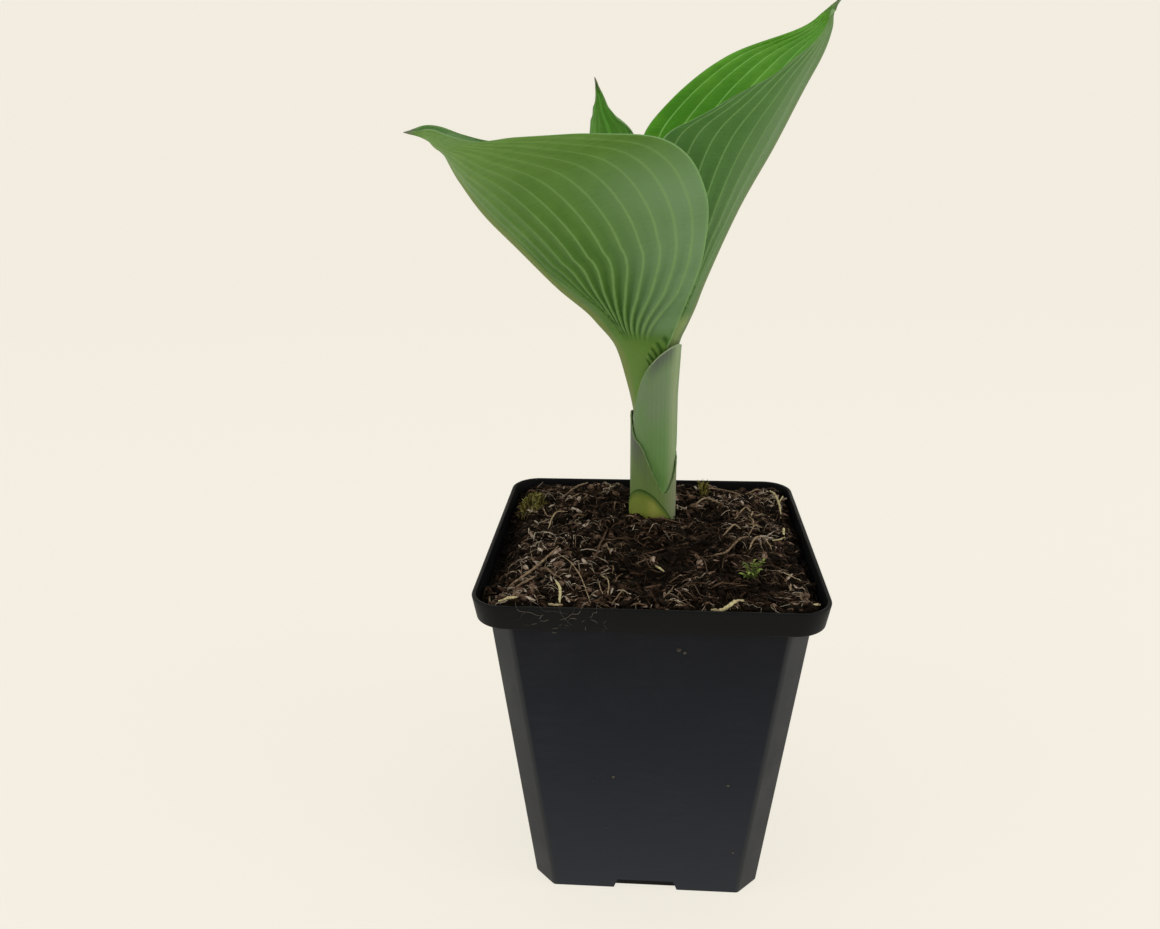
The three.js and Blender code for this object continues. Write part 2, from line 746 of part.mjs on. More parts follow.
place("pot", potGeometry(), COLOR.plastic, 0.45);
place("soil", soilGeometry(), COLOR.soil, 0.95);
place("crown", toGeometry(crownSolid(0)), COLOR.root, 0.8);
place("leaf_left", leafGeometry(leftLeaf()), COLOR.leafUnder, 0.5);
place("leaf_right", leafGeometry(rightLeaf()), COLOR.leafInner, 0.5);
place("leaf_inner", leafGeometry(innerLeaf()), COLOR.leafInner, 0.5);
place("sheath_upper", upperScale(), COLOR.sheath, 0.5);
place("sheath_lower", lowerScale(), COLOR.sheath, 0.5);
place("sheath_base", baseScale(), COLOR.baseScale, 0.55);
for (const sprig of SPRIGS) {
  place(sprig.name, sprigGeometry(sprig), sprig.color, 0.7);
}

export default plant;
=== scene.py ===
"""The looks of a young hosta shoot in a square nursery pot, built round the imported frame.

Sizes are written in millimetres, and MM turns them into Blender's metres. +Z is up, the pot's
front faces -Y and +X is to the right. Every finished piece has its place in its mesh.
"""

import logging
import math
from collections.abc import Callable, Iterator, Sequence
from contextlib import contextmanager
from dataclasses import dataclass, field, replace
from enum import Enum

import bpy
import numpy as np
from mathutils import Matrix, Vector


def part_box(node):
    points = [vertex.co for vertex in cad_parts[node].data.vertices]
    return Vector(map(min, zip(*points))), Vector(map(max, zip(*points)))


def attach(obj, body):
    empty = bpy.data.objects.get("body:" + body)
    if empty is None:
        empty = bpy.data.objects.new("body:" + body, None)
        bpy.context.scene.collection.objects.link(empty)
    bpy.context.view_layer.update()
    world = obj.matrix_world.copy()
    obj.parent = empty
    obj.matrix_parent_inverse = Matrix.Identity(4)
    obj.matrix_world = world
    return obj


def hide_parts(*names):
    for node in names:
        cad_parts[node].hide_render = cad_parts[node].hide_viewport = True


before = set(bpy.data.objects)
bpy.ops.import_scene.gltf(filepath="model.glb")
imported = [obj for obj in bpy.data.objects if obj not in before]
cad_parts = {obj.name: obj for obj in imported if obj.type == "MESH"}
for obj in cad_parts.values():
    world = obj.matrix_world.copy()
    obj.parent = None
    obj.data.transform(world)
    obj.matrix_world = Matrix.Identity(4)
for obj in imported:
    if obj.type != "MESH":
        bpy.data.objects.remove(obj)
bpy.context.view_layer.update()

MM = 0.001
FULL_TURN = 2 * math.pi
BODY = "root"
# Vertices that lie closer together than this are one, in millimetres.
WELD_REACH = 0.002

Array = np.ndarray
Colour = tuple[int, int, int]
Pair = tuple[float, float]
Point = tuple[float, float, float]
Station = tuple[Point, Point, Point]
# A shape's vertices and its faces, as rows of vertex numbers.
Shape = tuple[Array, Array]
Piece = bpy.types.Object
Material = bpy.types.Material
Socket = bpy.types.NodeSocket
Input = float | tuple[float, ...] | Socket

log = logging.getLogger("hosta")


# ---------------------------------------------------------------- numbers and curves


def mix(low: Array | float, high: Array | float, share: Array | float) -> Array | float:
    """Goes from low to high as share goes from 0 to 1."""
    return low + (high - low) * share


def ease(value: Array | float, start: float, end: float) -> Array | float:
    """Rises smoothly from 0 at start to 1 at end."""
    share = np.clip((value - start) / (end - start), 0.0, 1.0)
    return share * share * (3.0 - 2.0 * share)


def hill(value: Array | float, middle: float, width: float) -> Array | float:
    """A round hill of height 1 about middle, which is nearly flat two widths away."""
    return np.exp(-(((value - middle) / width) ** 2))


def change(curve: Callable[[Array], Array], place: Array, step: float, start: float = 0.0) -> Array:
    """How a curve that runs from start to 1 changes from a step before a place to a step after."""
    return curve(np.minimum(place + step, 1)) - curve(np.maximum(place - step, start))


def unit(vectors: Array) -> Array:
    """The same directions with a length of 1."""
    return vectors / (np.linalg.norm(vectors, axis=-1, keepdims=True) + 1e-12)


def smooth_curve(points: Array, u: Array, closed: bool = False) -> Array:
    """Samples the smooth curve that runs through evenly numbered points.

    Args:
        points: One row for each point.
        u: Places along the curve, from 0 to 1.
        closed: Whether the last point runs on into the first.

    Returns:
        The curve's points, in the shape of u with a last axis added.
    """
    points = np.asarray(points, float)
    if closed:
        ends = np.vstack([points[-1:], points, points[:2]])
        steps = len(points)
    else:
        ends = np.vstack([2 * points[0] - points[1], points, 2 * points[-1] - points[-2]])
        steps = len(points) - 1
    place = np.clip(u, 0.0, 1.0) * steps
    index = np.minimum(place.astype(int), steps - 1)
    part = (place - index)[..., None]
    before, start, end, after = ends[index], ends[index + 1], ends[index + 2], ends[index + 3]
    leave = (end - before) / 2
    arrive = (after - start) / 2
    cubic = 2 * start - 2 * end + leave + arrive
    square = 3 * end - 3 * start - 2 * leave - arrive
    return ((cubic * part + square) * part + leave) * part + start


class ValueNoise:
    """Smooth random heights over the plane, the same on every run."""

    def __init__(self, seed: int, size: int = 64) -> None:
        """Draws the lattice of heights."""
        self.heights = np.random.default_rng(seed).uniform(-1.0, 1.0, (size, size))

    def at(self, x: Array, y: Array) -> Array:
        """The height at each place, between -1 and 1."""
        size = len(self.heights)
        column = np.floor(x).astype(int)
        row = np.floor(y).astype(int)
        along = ease(x - column, 0.0, 1.0)
        across = ease(y - row, 0.0, 1.0)
        corner = [[self.heights[(row + j) % size, (column + i) % size] for i in (0, 1)] for j in (0, 1)]
        near = mix(corner[0][0], corner[0][1], along)
        far = mix(corner[1][0], corner[1][1], along)
        return mix(near, far, across)

    def layered(self, x: Array, y: Array, layers: int = 3) -> Array:
        """Several sizes of the same noise on top of each other, each half as wide and high."""
        total = np.zeros(np.shape(x))
        for layer in range(layers):
            shift = 7.3 * layer
            total += self.at(x * 2**layer + shift, y * 2**layer - shift) / 2**layer
        return total


# ---------------------------------------------------------------- pieces and their meshes


def deselect_all() -> None:
    """Leaves nothing selected."""
    bpy.ops.object.select_all(action="DESELECT")


@contextmanager
def editing(piece: Piece) -> Iterator[None]:
    """Edit mode on one piece, with all of it selected."""
    deselect_all()
    bpy.context.view_layer.objects.active = piece
    piece.select_set(True)
    bpy.ops.object.mode_set(mode="EDIT")
    bpy.ops.mesh.select_all(action="SELECT")
    yield
    bpy.ops.object.mode_set(mode="OBJECT")


def apply_modifier(piece: Piece, kind: str, **settings: object) -> None:
    """Adds a modifier of that kind with its settings, and applies it."""
    bpy.context.view_layer.objects.active = piece
    modifier = piece.modifiers.new(kind.title(), kind)
    for setting, value in settings.items():
        setattr(modifier, setting, value)
    bpy.ops.object.modifier_apply(modifier=modifier.name)


def named(name: str) -> Piece:
    """Names the piece that an operator has just added."""
    piece = bpy.context.active_object
    piece.name = name
    piece.data.name = name
    return piece


def grid_piece(name: str, columns: int, rows: int, points: Array) -> Piece:
    """Adds a grid and moves its vertices to their places.

    Args:
        name: The piece's name.
        columns: How many faces it is wide.
        rows: How many faces it is long.
        points: Where each vertex goes, in millimetres, row by row.

    Returns:
        The shaped grid.
    """
    deselect_all()
    bpy.ops.mesh.primitive_grid_add(x_subdivisions=columns, y_subdivisions=rows, size=1.0)
    piece = named(name)
    piece.data.vertices.foreach_set("co", (points * MM).ravel())
    piece.data.update()
    return piece


def weld(piece: Piece, cap_ends: bool = False) -> None:
    """Merges a piece's seam and poles, and closes its ends if asked, with its faces outwards."""
    with editing(piece):
        bpy.ops.mesh.remove_doubles(threshold=WELD_REACH * MM)
        if cap_ends:
            bpy.ops.mesh.fill_holes(sides=0)
            bpy.ops.mesh.normals_make_consistent(inside=False)


def taken(piece: Piece) -> Shape:
    """The vertices and faces of a shape that is modelled once, to be strewn as copies."""
    vertices = np.array([tuple(vertex.co) for vertex in piece.data.vertices])
    faces = np.array([tuple(face.vertices) for face in piece.data.polygons])
    bpy.data.objects.remove(piece)
    return vertices, faces


def set_attribute(piece: Piece, name: str, values: Array) -> None:
    """Stores one number at each vertex, for the piece's material to read."""
    attribute = piece.data.attributes.new(name, "FLOAT", "POINT")
    attribute.data.foreach_set("value", np.asarray(values, np.float32).ravel())


def smooth(piece: Piece, degrees: float = 60.0) -> None:
    """Shades a piece smooth, but for edges sharper than the angle."""
    deselect_all()
    bpy.context.view_layer.objects.active = piece
    piece.select_set(True)
    bpy.ops.object.shade_smooth_by_angle(angle=math.radians(degrees))
    deselect_all()


def present(piece: Piece, slot: str, *nodes: str) -> None:
    """Puts a finished piece on its body, hides the nodes that it stands for and logs it with its slot."""
    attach(piece, BODY)
    if nodes:
        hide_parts(*nodes)
    log.info("%s: %d faces, slot %s", piece.name, len(piece.data.polygons), slot)


@dataclass
class Batch:
    """Many small shapes, gathered as one mesh with a tone for each."""

    name: str
    vertices: list[Array] = field(default_factory=list)
    faces: list[Array] = field(default_factory=list)
    tones: list[Array] = field(default_factory=list)
    count: int = 0

    def add(self, vertices: Array, faces: Array, tone: float) -> None:
        """Adds one shape.

        Args:
            vertices: Its vertices, in millimetres.
            faces: Its faces as rows of vertex numbers, all four-cornered or all three-cornered.
            tone: The number that its material reads, from 0 to 1.
        """
        self.vertices.append(vertices)
        self.faces.append(faces + self.count)
        self.tones.append(np.full(len(vertices), tone))
        self.count += len(vertices)

    def present(self, material: Material, slot: str, *nodes: str) -> None:
        """Makes the gathered shapes one finished piece."""
        mesh = bpy.data.meshes.new(self.name)
        rows = [row for block in self.faces for row in block.tolist()]
        mesh.from_pydata((np.vstack(self.vertices) * MM).tolist(), [], rows)
        mesh.materials.append(material)
        piece = bpy.data.objects.new(self.name, mesh)
        bpy.context.scene.collection.objects.link(piece)
        set_attribute(piece, "tone", np.concatenate(self.tones))
        mesh.polygons.foreach_set("use_smooth", np.ones(len(mesh.polygons), bool))
        present(piece, slot, *nodes)


def strand(path: Array, radius: float, sides: int = 4, taper: float = 0.35, knobs: float = 0.0) -> Shape:
    """A thin closed strand along a path, thinner at both ends.

    Args:
        path: The points that it follows, in millimetres.
        radius: Its radius in the middle.
        sides: How many sides its section has.
        taper: Its ends' share of the radius.
        knobs: The share of the radius by which it is knobbly.

    Returns:
        Its vertices, and its faces as rows of four vertex numbers.
    """
    count = len(path)
    along = unit(np.gradient(path, axis=0))
    across = unit(np.cross(along, (0.13, 0.21, 0.97)))
    upward = np.cross(across, along)
    share = np.linspace(-1.0, 1.0, count)
    widths = radius * mix(1.0, taper, np.abs(share) ** 3)
    widths = widths * (1 + knobs * np.sin(2.3 * np.arange(count) + path[0, 0]))
    turns = np.arange(sides) * FULL_TURN / sides
    ring = across[:, None] * np.cos(turns)[None, :, None] + upward[:, None] * np.sin(turns)[None, :, None]
    vertices = (path[:, None] + ring * widths[:, None, None]).reshape(-1, 3)
    row = np.arange(count - 1)[:, None] * sides
    side = np.arange(sides)[None, :]
    following = (side + 1) % sides
    corners = (row + side, row + following, row + following + sides, row + side + sides)
    walls = np.stack([corner.ravel() for corner in corners], axis=1)
    last = (count - 1) * sides
    ends = [[0, 3, 2, 1], [last, last + 1, last + 2, last + 3]] if sides == 4 else []
    if sides == 6:
        ends = [[0, 5, 4, 3], [0, 3, 2, 1], [last, last + 1, last + 2, last + 3],
                [last, last + 3, last + 4, last + 5]]
    return vertices, np.vstack([walls, ends]).astype(int)


# ---------------------------------------------------------------- finishes


def linear(colour: Colour) -> tuple[float, float, float, float]:
    """A display colour from 0 to 255 as the linear colour that a shader takes, by the sRGB curve."""
    share = np.asarray(colour) / 255.0
    parts = np.where(share <= 0.04045, share / 12.92, ((share + 0.055) / 1.055) ** 2.4)
    return (*(float(part) for part in parts), 1.0)


class Shader:
    """A material's node tree, written one node at a time."""

    def __init__(self, name: str) -> None:
        """Starts a material with its Principled shader."""
        self.material = bpy.data.materials.new(name)
        self.material.use_nodes = True
        self.tree = self.material.node_tree
        self.surface = self.tree.nodes["Principled BSDF"]

    def feed(self, socket: Socket, value: Input) -> None:
        """Links a socket to another, or gives it a fixed value."""
        if isinstance(value, Socket):
            self.tree.links.new(value, socket)
        else:
            socket.default_value = value

    def node(
        self, kind: str, output: str | int, inputs: dict[str | int, Input], **settings: object
    ) -> Socket:
        """Adds a node of that kind with its settings, feeds its inputs and gives one output."""
        node = self.tree.nodes.new("ShaderNode" + kind)
        for setting, value in settings.items():
            setattr(node, setting, value)
        for socket, value in inputs.items():
            self.feed(node.inputs[socket], value)
        return node.outputs[output]

    def math(self, operation: str, first: Input, second: Input = 0.0) -> Socket:
        """The result of one sum."""
        return self.node("Math", 0, {0: first, 1: second}, operation=operation)

    def times(self, *factors: Input) -> Socket:
        """The product of two or more numbers."""
        product = factors[0]
        for factor in factors[1:]:
            product = self.math("MULTIPLY", product, factor)
        return product

    def even(self, share: Input, low: float, high: float) -> Socket:
        """Goes evenly from low to high as share goes from 0 to 1."""
        return self.math("ADD", self.times(share, high - low), low)

    def ease(self, value: Input, start: Input, end: Input, low: float = 0.0, high: float = 1.0) -> Socket:
        """Goes smoothly from low where value is start to high where it is end."""
        inputs = {0: value, 1: start, 2: end, 3: low, 4: high}
        return self.node("MapRange", 0, inputs, interpolation_type="SMOOTHSTEP")

    def blend(self, share: Input, first: Input, second: Input) -> Socket:
        """Goes from the first colour to the second as share goes from 0 to 1."""
        return self.node("Mix", 2, {0: share, 6: first, 7: second}, data_type="RGBA")

    def coats(self, colour: Input, *coats: tuple[Input, Colour]) -> Socket:
        """A colour with others laid over it one after the other, each by its share."""
        for share, coat in coats:
            colour = self.blend(share, colour, linear(coat))
        return colour

    def attribute(self, name: str) -> Socket:
        """A number that the piece stores at its vertices."""
        return self.node("Attribute", "Fac", {}, attribute_name=name)

    def place(self, scale: Point = (1.0, 1.0, 1.0)) -> Socket:
        """Object coordinates in millimetres, stretched by a scale along each axis."""
        metres = self.node("TexCoord", "Object", {})
        return self.node("Mapping", 0, {"Vector": metres, "Scale": tuple(part / MM for part in scale)})

    def parts(self, place: Input) -> list[Socket]:
        """The separate numbers of a place."""
        return [self.node("SeparateXYZ", axis, {0: place}) for axis in range(3)]

    def joined(self, x: Input, y: Input, z: Input = 0.0) -> Socket:
        """A place made of separate numbers."""
        return self.node("CombineXYZ", 0, {0: x, 1: y, 2: z})

    def noise(self, place: Input, scale: float, detail: float = 3.0, roughness: float = 0.55) -> Socket:
        """Cloudy noise from 0 to 1 at a place."""
        inputs = {"Vector": place, "Scale": scale, "Detail": detail, "Roughness": roughness}
        return self.node("TexNoise", "Fac", inputs)

    def ramp(self, value: Input, *stops: tuple[float, Colour]) -> Socket:
        """A colour that changes through several stops as value goes from 0 to 1."""
        node = self.tree.nodes.new("ShaderNodeValToRGB")
        elements = node.color_ramp.elements
        while len(elements) < len(stops):
            elements.new(0.5)
        for element, (position, colour) in zip(elements, stops):
            element.position = position
            element.color = linear(colour)
        self.feed(node.inputs[0], value)
        return node.outputs[0]

    def bump(self, height: Input, distance: float, strength: float, after: Input | None = None) -> Socket:
        """A normal bent by a height, in millimetres of distance."""
        inputs = {"Strength": strength, "Distance": distance * MM, "Height": height}
        if after is not None:
            inputs["Normal"] = after
        return self.node("Bump", 0, inputs)

    def finish(self, **values: Input) -> Material:
        """Feeds the Principled shader, by its sockets' names with _ for a space."""
        for name, value in values.items():
            self.feed(self.surface.inputs[name.replace("_", " ")], value)
        return self.material


@dataclass(frozen=True)
class LeafFinish:
    """One face of a leaf, with its veins, midrib, stalk and margin, painted shade in its pleats and folds, a
    painted sheen, and a painted highlight along the margin on its paler faces.
    """

    name: str
    tissue: Colour
    # The shade colour serves both the tissue's random darker patches and streaks and the painted shade in the
    # valleys between the veins; the darkest green is painted shade in the throat's pleats and in the crimped
    # folds.
    shade: Colour
    pleat_shade: Colour
    ripe: Colour
    vein: Colour
    rib: Colour
    stalk: Colour
    # A painted sheen where the leaf curves away from view.
    painted_sheen: Colour
    # The margin band and the rim line along the edge: pale as a painted highlight on some faces, dark as the
    # leaf's real brownish edge on others.
    margin: Colour
    edge_tint_and_highlight: Colour
    tip: Colour
    sheen_share: float
    vein_share: float
    roughness: float
    subsurface: float = 0.12

    def material(self) -> Material:
        """Builds the leaf's material from the numbers stored along and across the leaf."""
        shader = Shader(self.name)
        phase = shader.attribute("vein")
        along = shader.attribute("along_mm")
        edge = shader.attribute("edge")
        centred = shader.math("ABSOLUTE", shader.math("SUBTRACT", shader.math("FRACT", phase), 0.5))
        ragged = shader.noise(shader.place(), 0.5, 2.0)
        width = shader.times(shader.attribute("vein_width"), shader.ease(ragged, 0.2, 0.8, 0.75, 1.25))
        line = shader.ease(centred, shader.math("SUBTRACT", 0.5, width), 0.5)
        lines = shader.times(line, shader.attribute("vein_show"), self.vein_share)
        # Painted shade in the valleys between the veins.
        valley_shade = shader.ease(centred, 0.5, 0.0)

        patches = shader.noise(shader.place(), 0.09, 4.0)
        fibres = shader.noise(shader.joined(shader.times(phase, 7.0), along), 0.16, 3.0)
        rungs = shader.noise(shader.joined(shader.times(phase, 0.8), shader.times(along, 1.1)), 1.0, 2.0)
        # Painted shade deep in the pleats at the throat.
        throat_pleat_shade = shader.times(shader.attribute("pleat_shade"), shader.even(valley_shade, 0.25, 1.0))
        # Painted sheen where the leaf curves away, broken up a little by the patches.
        painted_sheen = shader.times(shader.attribute("painted_sheen"), shader.ease(patches, 0.2, 0.75, 0.75, 1.0))
        colour = shader.coats(
            linear(self.tissue),
            (shader.ease(patches, 0.3, 0.7), self.shade),
            (shader.times(shader.attribute("ripe"), 0.75), self.ripe),
            (shader.ease(fibres, 0.35, 0.75, 0.0, 0.3), self.shade),
            (shader.ease(rungs, 0.45, 0.75, 0.0, 0.35), self.shade),
            (shader.times(valley_shade, 0.25), self.shade),
            (throat_pleat_shade, self.pleat_shade),
            (shader.times(painted_sheen, self.sheen_share), self.painted_sheen),
            (lines, self.vein),
            (shader.attribute("rolled"), self.stalk),
            # Painted shade in the valleys of the crimped folds.
            (shader.times(shader.attribute("crimp"), 0.8), self.pleat_shade),
            (shader.attribute("rib"), self.rib),
            # Margin band and rim line: painted highlight where their colours are pale, the real brownish edge
            # where they are dark.
            (shader.ease(edge, 0.6, 0.2), self.margin),
            (shader.ease(edge, 0.15, 0.0, 0.0, 0.6), self.edge_tint_and_highlight),
            (shader.attribute("tip"), self.tip),
        )

        pores = shader.noise(shader.place(), 2.6, 3.0)
        skin = shader.bump(pores, 0.05, 0.5)
        puckers = shader.bump(rungs, 0.35, 0.5, skin)
        normal = shader.bump(fibres, 0.2, 0.5, puckers)
        roughness = shader.ease(pores, 0.2, 0.8, self.roughness - 0.06, self.roughness + 0.08)
        return shader.finish(
            Base_Color=colour, Roughness=roughness, Normal=normal, Specular_IOR_Level=0.25,
            Subsurface_Weight=self.subsurface, Subsurface_Radius=(0.6, 1.0, 0.25),
            Subsurface_Scale=0.0012,
        )


@dataclass(frozen=True)
class ScaleFinish:
    """A bud scale, with fine lengthwise streaks, a darker tip, a pale edge and a painted highlight down one
    side.
    """

    name: str
    body: Colour
    lower: Colour
    # The light colour is a painted highlight down the side of the scale that faces the lamps.
    light: Colour
    tip: Colour
    streak: Colour
    edge: Colour
    highlight_turn: float
    highlight_width: float
    tip_turn: float
    tip_width: float
    tip_depth: float
    lower_height: Pair
    edge_width: float = 0.45
    highlight_share: float = 0.75

    def material(self) -> Material:
        """Builds the scale's material from its turn round the shoot and its height."""
        shader = Shader(self.name)
        turn = shader.attribute("turn")
        height = shader.attribute("height")
        below = shader.attribute("below_mouth")
        clouds = shader.noise(shader.place((1.0, 1.0, 0.35)), 0.22, 3.0)
        grain = shader.joined(shader.times(turn, 130.0), shader.times(height, 0.05))
        streaks = shader.noise(grain, 1.0, 3.0, 0.6)
        bottom, top = self.lower_height
        # Painted highlight down one side.
        light = shader.ease(self.away(shader, turn, self.highlight_turn), self.highlight_width, 0.0)
        near_tip = shader.ease(below, self.tip_depth, 0.0)
        side = shader.ease(self.away(shader, turn, self.tip_turn), self.tip_width, self.tip_width * 0.3)
        colour = shader.coats(
            linear(self.body),
            (shader.ease(clouds, 0.3, 0.7, 0.0, 0.6), self.lower),
            (shader.ease(height, top, bottom), self.lower),
            (shader.times(light, self.highlight_share), self.light),
            # On the lower scale this darker patch by the mouth is painted shadow under the upper scale's
            # edge.
            (shader.times(near_tip, side, 0.9), self.tip),
            (shader.ease(streaks, 0.45, 0.75, 0.0, 0.35), self.streak),
            (shader.ease(below, self.edge_width, self.edge_width * 0.25), self.edge),
        )

        ribs = shader.bump(streaks, 0.25, 0.6)
        normal = shader.bump(shader.noise(shader.place(), 2.4, 3.0), 0.06, 0.5, ribs)
        return shader.finish(
            Base_Color=colour, Roughness=shader.ease(clouds, 0.2, 0.8, 0.42, 0.56), Normal=normal,
            Specular_IOR_Level=0.3, Subsurface_Weight=0.1, Subsurface_Radius=(0.6, 1.0, 0.3),
            Subsurface_Scale=0.0015,
        )

    @staticmethod
    def away(shader: Shader, turn: Input, centre: float) -> Socket:
        """How far a turn is from a centre, the shorter way round, in whole turns."""
        shifted = shader.math("FRACT", shader.math("ADD", turn, 1.5 - centre))
        return shader.math("ABSOLUTE", shader.math("SUBTRACT", shifted, 0.5))


@dataclass(frozen=True)
class PlasticFinish:
    """Dark moulded plastic with dust and scuffs, with painted light that grows paler towards the foot,
    painted shade on the collar and a painted reflection on the cut corners.
    """

    name: str
    # The collar colour is painted shade; shoulder, waist and foot grade from painted shade under the collar
    # to painted light bounced up from the floor; the corner colour is a painted reflection of the side lamps,
    # and the dust colour is real dust.
    collar: Colour
    shoulder: Colour
    waist: Colour
    foot: Colour
    corner: Colour
    dust: Colour

    def material(self, collar_foot: float, corner_reach: Pair) -> Material:
        """Builds the plastic with its fine grain, faint flow bands, dust, scuffs and painted light and shade.

        Args:
            collar_foot: The height from which the collar stands out.
            corner_reach: How far out the cut corners lie, as |x| + |y|, at the foot and at that height.

        Returns:
            The material.
        """
        shader = Shader(self.name)
        x, y, z = shader.parts(shader.place())
        rise = shader.times(z, 1 / collar_foot)
        out = shader.math("ADD", shader.math("ABSOLUTE", x), shader.math("ABSOLUTE", y))
        past = shader.math("SUBTRACT", out, shader.even(rise, *corner_reach))
        clouds = shader.noise(shader.place(), 0.045, 5.0, 0.6)
        bands = shader.noise(shader.place((0.35, 0.35, 2.2)), 0.25, 4.0, 0.6)
        grain = shader.noise(shader.place(), 3.2, 3.0, 0.6)
        scratches = shader.noise(shader.place((0.12, 0.12, 5.0)), 0.9, 2.0)
        specks = shader.noise(shader.place(), 0.55, 2.0)

        dust = shader.times(shader.ease(clouds, 0.35, 0.75, 0.0, 0.2), shader.ease(bands, 0.3, 0.7, 0.4, 1.0))
        colour = shader.coats(
            # Painted light and shade: paler towards the foot for light bounced up from the floor, darker
            # towards the collar in its shade.
            shader.ramp(rise, (0.0, self.foot), (0.5, self.waist), (1.0, self.shoulder)),
            (dust, self.dust),
            # Painted reflection of the side lamps on the cut corners.
            (shader.ease(past, -1.3, -0.3), self.corner),
            # Painted shade on the whole collar, which faces a little downwards.
            (shader.ease(rise, 0.99, 1.0), self.collar),
            (shader.ease(scratches, 0.66, 0.74, 0.0, 0.12), self.dust),
            (shader.ease(specks, 0.74, 0.8, 0.0, 0.2), self.dust),
        )
        normal = shader.bump(bands, 0.12, 0.3, shader.bump(grain, 0.05, 0.5))
        return shader.finish(
            Base_Color=colour, Roughness=shader.ease(clouds, 0.25, 0.75, 0.44, 0.6), Normal=normal,
            Specular_IOR_Level=0.12,
        )


@dataclass(frozen=True)
class DebrisFinish:
    """Peat, bark, fibres or straw, coloured by each bit's own tone."""

    name: str
    stops: tuple[tuple[float, Colour], ...]
    grain: float
    roughness: float

    def material(self) -> Material:
        """Builds the debris with its tones, streaks and grain."""
        shader = Shader(self.name)
        grain = shader.noise(shader.place(), self.grain, 4.0, 0.6)
        tone = shader.math("ADD", shader.attribute("tone"), shader.ease(grain, 0.25, 0.75, -0.22, 0.16))
        return shader.finish(
            Base_Color=shader.ramp(tone, *self.stops),
            Roughness=shader.ease(grain, 0.2, 0.8, self.roughness + 0.1, self.roughness - 0.1),
            Normal=shader.bump(grain, 0.3, 0.8), Specular_IOR_Level=0.08,
        )


@dataclass(frozen=True)
class PeatFinish:
    """The moist peat between the crumbs, its dark brown deepened as painted shade for the gaps between them.
    """

    name: str
    dark: Colour
    middle: Colour
    light: Colour

    def material(self) -> Material:
        """Builds the peat with its clods, fibres and grains."""
        shader = Shader(self.name)
        clods = shader.noise(shader.place(), 0.16, 5.0, 0.65)
        fibres = shader.noise(shader.place((1.0, 0.3, 1.0)), 1.1, 5.0, 0.7)
        colour = shader.coats(
            linear(self.dark),
            (shader.ease(clods, 0.35, 0.7), self.middle),
            (shader.ease(fibres, 0.55, 0.75, 0.0, 0.5), self.light),
        )
        return shader.finish(
            Base_Color=colour, Roughness=shader.ease(clods, 0.3, 0.7, 0.75, 0.95),
            Normal=shader.bump(fibres, 0.8, 0.9, shader.bump(clods, 1.6, 0.7)), Specular_IOR_Level=0.05,
        )


@dataclass(frozen=True)
class BackdropFinish:
    """Plain pale studio paper that glows a little, as in a light tent."""

    name: str
    paper: Colour
    shade: Colour
    glow: float

    def material(self) -> Material:
        """Builds the paper."""
        return Shader(self.name).finish(
            Base_Color=linear(self.shade), Roughness=1.0, Specular_IOR_Level=0.0,
            Emission_Color=linear(self.paper), Emission_Strength=self.glow,
        )


LEFT_UNDERSIDE = LeafFinish(
    name="left_leaf_underside", tissue=(83, 125, 42), shade=(68, 111, 30), pleat_shade=(46, 87, 22),
    ripe=(107, 145, 64), vein=(124, 161, 96), rib=(108, 126, 62), stalk=(92, 128, 50),
    painted_sheen=(116, 149, 106), margin=(118, 156, 98), edge_tint_and_highlight=(126, 162, 110), tip=(118, 122, 102),
    sheen_share=0.85, vein_share=0.6, roughness=0.5,
)

RIGHT_UNDERSIDE = replace(
    LEFT_UNDERSIDE,
    name="right_leaf_underside", tissue=(70, 116, 44), shade=(58, 104, 34), pleat_shade=(52, 92, 32),
    ripe=(92, 124, 68), vein=(120, 158, 92), rib=(108, 126, 84), stalk=(124, 146, 86),
    painted_sheen=(96, 126, 80), margin=(122, 160, 104), edge_tint_and_highlight=(136, 178, 124), sheen_share=0.9,
)

# Brightened past the leaf's own green as painted light, for the concave inner face that gets less light.
RIGHT_UPPER = replace(
    LEFT_UNDERSIDE,
    name="right_leaf_upper_side", tissue=(105, 168, 36), shade=(71, 142, 10), pleat_shade=(64, 128, 15),
    ripe=(116, 176, 68), vein=(156, 210, 116), rib=(126, 176, 84), painted_sheen=(80, 144, 28),
    margin=(100, 148, 60), edge_tint_and_highlight=(88, 108, 54), sheen_share=0.6, vein_share=0.8, roughness=0.44,
    subsurface=0.3,
)

LEFT_UPPER = replace(
    RIGHT_UPPER,
    name="left_leaf_upper_side", tissue=(84, 140, 44), shade=(68, 124, 32), ripe=(112, 138, 96),
    margin=(122, 148, 102),
)

# The young leaf's finishes are its own pale green brightened further as painted light, for the shade that the
# older leaves cast on it.
YOUNG_UNDERSIDE = replace(
    LEFT_UNDERSIDE,
    name="young_leaf_underside", tissue=(122, 172, 84), shade=(96, 146, 62), pleat_shade=(76, 126, 44),
    ripe=(124, 180, 82), vein=(158, 204, 120), rib=(140, 190, 102), painted_sheen=(96, 140, 72),
    margin=(92, 130, 70), edge_tint_and_highlight=(90, 104, 72), tip=(130, 134, 118), sheen_share=0.8, subsurface=0.4,
)

YOUNG_UPPER = replace(
    YOUNG_UNDERSIDE,
    name="young_leaf_upper_side", tissue=(152, 202, 108), shade=(126, 178, 82), pleat_shade=(108, 160, 66),
    ripe=(150, 198, 108), vein=(190, 238, 150), rib=(172, 226, 128), painted_sheen=(104, 154, 80),
    margin=(112, 152, 90),
)

